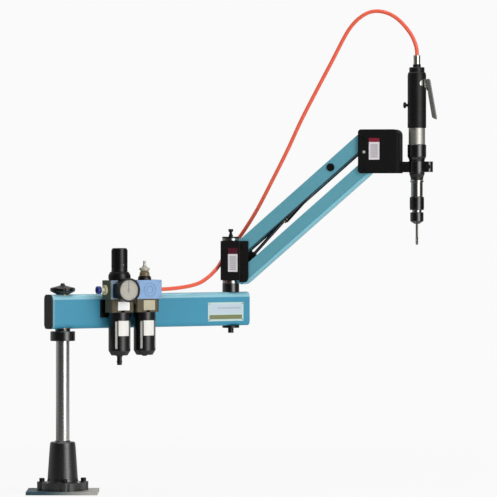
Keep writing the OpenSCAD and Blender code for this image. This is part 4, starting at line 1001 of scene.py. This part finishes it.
added("gauge_bezel", [lathe([
    (DIAL_R, 0.2), (25.2, 4.4), (26.4, 6.9), (GAUGE_R - 0.6, 6.9), (GAUGE_R, 6.3),
    (GAUGE_R, 1),
], 96)], GAUGE, "lower_arm", satin_black, "black_gloss")
added("gauge_glass", [
    lathe([(0, 4.2), (GLASS_R, 4.2), (GLASS_R, 5), (0, 5.4)]),
], GAUGE, "lower_arm", gauge_glass, "dome_clear")
added("needle_hub", [
    lathe([(0, 2.6), (3.4, 2.6), (3.2, 3.4), (0, 3.8)], 36),
], GAUGE, "gauge_needle", needle_black, "needle_black")
for name, count, inner, width in (("minor_ticks", 51, 21.2, 0.45), ("major_ticks", 11, 19.6, 0.9)):
    repeated(
        name, [bar(inner, SCALE_R, width, 0, INK_T)], GAUGE @ turned(SCALE_START), *INK,
        count, turn=SCALE_SWEEP / (count - 1),
    )
added("dial_scale", [
    ring(SCALE_R - 0.1, SCALE_R + 0.3, 0, INK_T, 90, SCALE_START, SCALE_SWEEP),
], GAUGE, *INK)


def dial_numbers():
    """Every second number from 0 to 10, round the dial."""
    whole = bmesh.new()
    for number in range(0, LAST_NUMBER + 1, NUMBER_STEP):
        words = bpy.data.curves.new("number", "FONT")
        words.body = str(number)
        words.size = NUMBER_SIZE
        words.align_x = "CENTER"
        words.align_y = "CENTER"
        words.extrude = INK_T / 2
        mesh = evaluated(in_scene("number", words))
        angle = math.radians(SCALE_START + SCALE_SWEEP * (1 - number / LAST_NUMBER))
        x, y = NUMBER_R * math.cos(angle), NUMBER_R * math.sin(angle)
        mesh.transform(Matrix.Translation((x, y, NUMBER_Z)))
        whole.from_mesh(mesh)
        bpy.data.meshes.remove(mesh)
    return whole


added("dial_numbers", [dial_numbers()], GAUGE, *INK)

# ---- elbow block and bars ----
softened("swivel_block", block_black, 1.0, 3)
softened("block_pins", satin_black, 0.6)
softened("strut_pin", dark_steel)
softened("upper_bar", bar_blue, 0.6)
softened("lower_bar", low_bar_blue, 0.6)
softened("strut_bolt", satin_black, 0.5)
softened("gas_cylinder", gloss_black, 0.6)
softened("gas_rod", rod_dark)
added("strut_gland", [
    ring(4.3, 7.7, STRUT_MOUTH - 0.2, STRUT_MOUTH + 5.3, 48),
    ring(9.0, 10.1, STRUT_MOUTH - 7, STRUT_MOUTH - 5.4, 48),
], STRUT @ turned(90, "Y"), "strut_cylinder", gland_brass, "nickel", 0.4)

TAG_FRONT = -28.3
TAG_MARGIN = 4
TAG_FOOT = 6
TAG_LINES = 7
TAG_LINE_T = 1.8
BLOCK_TAG = (-0.7, 24.2, 548.7, 609.5, 594.2)  # left, right, low, high, the header's foot
HEAD_TAG = (365.9, 393.1, 834.7, 889.4, 879.3)


def warning_tag(name, x0, x1, z0, z1, header, body, header_finish):
    """A blank tag: a white field with ruled lines under a coloured header."""
    for part, low, high, finish in (
        ("_field", z0, header, tag_white), ("_header", header, z1, header_finish),
    ):
        field = plate(x0, x1, low, high, TAG_FRONT)
        added(name + part, [field], LINK, body, finish, "name_plate")
    repeated(
        name + "_lines",
        [plate(x0 + TAG_MARGIN, x1 - TAG_MARGIN, 0, TAG_LINE_T, TAG_FRONT - 0.1, 0.2, 0.3)],
        LINK @ moved(0, 0, z0 + TAG_FOOT), body, label_grey, "name_plate", TAG_LINES,
        (0, 0, (header - z0 - 2 * TAG_FOOT) / (TAG_LINES - 0.5)),
    )


warning_tag("block_tag", *BLOCK_TAG, "elbow_block", label_maroon)
warning_tag("head_tag", *HEAD_TAG, "head", label_red)

# ---- head and tool ----
softened("head_box", box_black, 1.0, 3)
softened("head_pins", satin_black, 0.5)
softened("head_screws", screw_bright)
softened("tool_handle", grip_black, 0.6)
softened("hose_fitting", nickel, 0.4)
softened("exhaust_band", band_steel, 0.5)
softened("gear_housing", gloss_black, 0.4)
softened("nosepiece", gloss_black, 0.4)
softened("lever_bracket", ring_chrome)
softened("throttle_lever", lever_chrome)
softened("reverse_button", knob_black, 0.2)
softened("chuck_shank", ring_chrome, 0.4)
softened("chuck_sleeve", chuck_black)
softened("tap_collet", chuck_black)

HANDLE_Z = heights("tool_handle")[0]
BAND_Z, BAND_TOP = heights("exhaust_band")
FITTING_Z, FITTING_TOP = heights("hose_fitting")
SLEEVE_Z, SLEEVE_TOP = heights("chuck_sleeve")
SLOTS_START, SLOTS, SLOT_TURN = 20, 9, 16
KNURLS = 72

added("handle_rings", [
    ring(23.2, 23.75, z, z + 1.2) for z in (HANDLE_Z + 4, HANDLE_Z + 7.2, HANDLE_Z + 10.4)
], TOOL, "head", grip_black, "handle_black", 0.2)
added("fitting_rings", [
    ring(8.2, 8.95, z, z + 1.4, 48) for z in (FITTING_Z + 1, FITTING_TOP - 3)
], TOOL, "head", nickel, "nickel", 0.3)
# dark strips, not cut openings: painted shade where the exhaust slots would be
repeated(
    "exhaust_slot_shade", [bar(20.4, 21.15, 1.8, BAND_Z + 14, BAND_TOP - 10)],
    TOOL @ turned(SLOTS_START), "head", needle_black, "needle_black", SLOTS, turn=SLOT_TURN,
)
repeated(
    "sleeve_knurl", [bar(17.6, 18.2, 0.7, SLEEVE_Z + 4, SLEEVE_TOP - 5)], TOOL,
    "chuck_sleeve", chuck_black, "black_gloss_metal", KNURLS, turn=360 / KNURLS,
)

# ---- tool clamp: a split ring on an arm, closed by a screw through its lug ----
CLAMP_Z, CLAMP_TOP = heights("tool_clamp")
CLAMP_BORE_R = 17.05
CLAMP_R = 21.5
CLAMP_EDGE = 0.6
CLAMP_SPLIT = 3.5  # degrees to each side of the slit
CLAMP_ARM = (-40.3, -18, -14, 14)
LUG_START, LUG_END = 12, 41
LUG_INNER, LUG_OUTER = 1.2, 13
LUG_ROUND = 11.6
SCREW_BOSS = (31, -8, CLAMP_Z + 14)


def lug_half(side):
    """Half of the clamp's lug, rounded at its outer end; side is -1 in front, 1 behind."""
    inner, outer = LUG_INNER * side, LUG_OUTER * side
    outline = [(LUG_START, inner), (LUG_START, outer)]
    outline += arc(
        LUG_END - LUG_ROUND, outer - LUG_ROUND * side, LUG_ROUND, 90 * side, -90 * side, 12,
    )
    outline.append((LUG_END, inner))
    return prism(
        [(x, y, CLAMP_Z + 0.5) for x, y in outline], [(x, y, CLAMP_TOP - 0.5) for x, y in outline],
    )


added("tool_clamp_made", [
    lathe([
        (CLAMP_BORE_R, CLAMP_Z), (CLAMP_R - CLAMP_EDGE, CLAMP_Z), (CLAMP_R, CLAMP_Z + CLAMP_EDGE),
        (CLAMP_R, CLAMP_TOP - CLAMP_EDGE), (CLAMP_R - CLAMP_EDGE, CLAMP_TOP),
        (CLAMP_BORE_R, CLAMP_TOP),
    ], 96, CLAMP_SPLIT, 360 - 2 * CLAMP_SPLIT),
    box(*CLAMP_ARM, CLAMP_Z, CLAMP_TOP - 1), lug_half(-1), lug_half(1),
], TOOL, "head", gloss_black, "black_metal", 0.5, ["tool_clamp"])
added(
    "clamp_boss", [ring(3.1, 6, 0, 5, 48)], TOOL @ moved(*SCREW_BOSS) @ FRONT,
    "head", satin_black, "black_metal", 0.3,
)

# ---- tap: a plain shank, then a cut thread with three flutes and a tapered lead ----
TIP_Z, TAP_TOP = heights("tap")
TAP_SIDES = 96
THREAD_TOP = TIP_Z + 21
THREAD_STEP = 0.14
THREAD_PITCH = 1.25
THREAD_DEPTH = 0.6
CORE_R = 3.0
SHANK_R = 3.1
LEAD_L = 6
RUN_OUT = 1.5
FLUTES = 3
FLUTE_R = 1.9
FLUTE_AT = 4.3  # from the tap's axis to a flute's


def thread_radius(turn, height):
    """How far the tap's surface lies from its axis, at a share of a turn and a height."""
    lead = min(1.0, 0.35 + height / LEAD_L)
    fade = min(1.0, (THREAD_TOP - TIP_Z - height) / RUN_OUT)
    phase = (height / THREAD_PITCH - turn) % 1
    ridge = THREAD_DEPTH * lead * fade * (1 - abs(2 * phase - 1))
    radius = CORE_R * (0.75 + 0.25 * lead) + ridge
    apart = 360 / FLUTES
    away = math.radians((360 * turn - 30 + apart / 2) % apart - apart / 2)
    half = FLUTE_AT * math.sin(away)
    if abs(half) < FLUTE_R and height < THREAD_TOP - TIP_Z - 1:
        radius = min(radius, FLUTE_AT * math.cos(away) - math.sqrt(FLUTE_R ** 2 - half ** 2))
    return radius


def tap_mesh():
    shape = bmesh.new()

    def round_at(z, radii):
        angles = [math.tau * i / TAP_SIDES for i in range(TAP_SIDES)]
        return [
            shape.verts.new((radius * math.cos(angle), radius * math.sin(angle), z))
            for angle, radius in zip(angles, radii)
        ]

    rings = []
    for row in range(int((THREAD_TOP - TIP_Z) / THREAD_STEP) + 1):
        height = row * THREAD_STEP
        radii = [thread_radius(i / TAP_SIDES, height) for i in range(TAP_SIDES)]
        rings.append(round_at(TIP_Z + height, radii))
    for z in (THREAD_TOP + 0.5, TAP_TOP):
        rings.append(round_at(z, [SHANK_R] * TAP_SIDES))
    for low, high in zip(rings, rings[1:]):
        for i in range(TAP_SIDES):
            j = (i + 1) % TAP_SIDES
            shape.faces.new((low[i], low[j], high[j], high[i]))
    shape.faces.new(rings[0][::-1])
    shape.faces.new(rings[-1])
    return shape


added("tap_cut", [tap_mesh()], TOOL, "spindle", tap_steel, "bright_steel", stands_for=["tap"])


# ---- stage ----
BACKDROP = 0.955  # the white that shows behind the object
FLOOR_R = 3.2
FLOOR_PLACE = (0.4, 0.0, -0.0005)
FLOOR_GLOW = 0.92  # the backdrop's share in the floor; the rest takes shadows
FLOOR_IN_METAL = (0.1, 0.4, 0.45)  # as metal mirrors it: all of it, more near, more towards +X
ROOM_LIGHT = 0.33
ROOM_IN_METAL = (0.05, 0.38, 0.49)  # all of it, more round the back, more straight behind


def emptied(owner):
    """The node tree of a material or a world, with nothing in it yet."""
    owner.use_nodes = True
    owner.node_tree.nodes.clear()
    return Nodes(owner.node_tree)


def rays(nodes):
    """Whether a ray looks straight or through something, or is mirrored: 0 or 1."""
    def kind(name):
        return nodes.node("ShaderNodeLightPath", out=name)

    return (kind("Is Camera Ray") + kind("Is Transmission Ray")).limited(), kind("Is Glossy Ray")


def floor_finish():
    """Pale floor: it keeps a soft shadow and runs out to the white of the backdrop."""
    material = bpy.data.materials.new("pale_floor")
    nodes = emptied(material)
    seen, mirrored = rays(nodes)
    here = nodes.node("ShaderNodeTexCoord", out="Object")
    away = nodes.node("ShaderNodeVectorMath", {"operation": "LENGTH"}, {0: here}, "Value")
    edge = nodes.above(away, 1.6, 1.0)
    near = 1 - nodes.above(away, 0.8, 0.4)
    right = nodes.above(nodes.parts(here)[0], 0.5, 0.8)
    share = (seen * (FLOOR_GLOW + (1 - FLOOR_GLOW) * edge) + mirrored).limited()
    whole, more_near, more_right = FLOOR_IN_METAL
    in_metal = whole + more_near * near + more_right * right
    level = seen * BACKDROP + mirrored * in_metal
    surface = nodes.node("ShaderNodeBsdfDiffuse", {}, {"Color": (0.97, 0.97, 0.97, 1)})
    glow = nodes.node("ShaderNodeEmission", {}, {"Strength": level})
    mixed = nodes.node("ShaderNodeMixShader", {}, {0: share, 1: surface, 2: glow})
    nodes.node_end("ShaderNodeOutputMaterial", mixed)
    return material


floor_shape = bmesh.new()
bmesh.ops.create_circle(floor_shape, cap_ends=True, radius=FLOOR_R, segments=128)
floor_mesh = mesh_from(floor_shape, "floor")
floor_mesh.materials.append(floor_finish())
floor = in_scene("floor", floor_mesh)
floor.location = FLOOR_PLACE

MIDDLE = (0.45, 0.0, 0.65)
KEY_AIM = (0.45, 0.0, 2.0)
KEY_HEIGHT = 4.6


def soft_light(name, place, aim, width, height, power, in_gloss=True):
    data = bpy.data.lights.new(name, "AREA")
    data.shape = "RECTANGLE"
    data.size, data.size_y = width, height
    data.energy = power
    lamp = in_scene(name, data)
    lamp.location = place
    lamp.rotation_euler = (Vector(aim) - Vector(place)).to_track_quat("-Z", "Y").to_euler()
    lamp.visible_camera = False
    lamp.visible_glossy = in_gloss


# The key is three lamps, each 0.1 m nearer: the strip gives gloss its bright core.
soft_light("key", (3.66, -3.97, 2.0), KEY_AIM, 5.5, KEY_HEIGHT, 39, False)
soft_light("key_wide", (3.60, -3.89, 2.0), KEY_AIM, 5.5, KEY_HEIGHT, 62)
soft_light("key_strip", (3.54, -3.81, 2.0), KEY_AIM, 2.4, KEY_HEIGHT, 102)
soft_light("top", (0.5, 0.2, 3.4), MIDDLE, 3.6, 2.6, 59)
soft_light("fill", (-3.0, -3.4, 1.2), MIDDLE, 2.4, 2.4, 30, False)


def studio_world():
    """Even light for the surfaces, and the white backdrop where it is looked at."""
    world = bpy.data.worlds.new("studio")
    bpy.context.scene.world = world
    nodes = emptied(world)
    seen, mirrored = rays(nodes)
    east, north, _ = nodes.parts(nodes.node("ShaderNodeTexCoord", out="Generated"))
    around = nodes.above(north - 0.45 * east, 0.375, 0.775)
    behind = nodes.above(north, 0.93, 0.05)
    whole, more_around, more_behind = ROOM_IN_METAL
    in_metal = whole + more_around * around + more_behind * behind
    unseen = mirrored * in_metal + (1 - mirrored) * ROOM_LIGHT
    level = seen * BACKDROP + (1 - seen) * unseen
    light = nodes.node("ShaderNodeBackground", {}, {"Color": (1, 1, 1, 1), "Strength": level})
    nodes.node_end("ShaderNodeOutputWorld", light)


studio_world()
bpy.context.scene.view_settings.view_transform = "Standard"
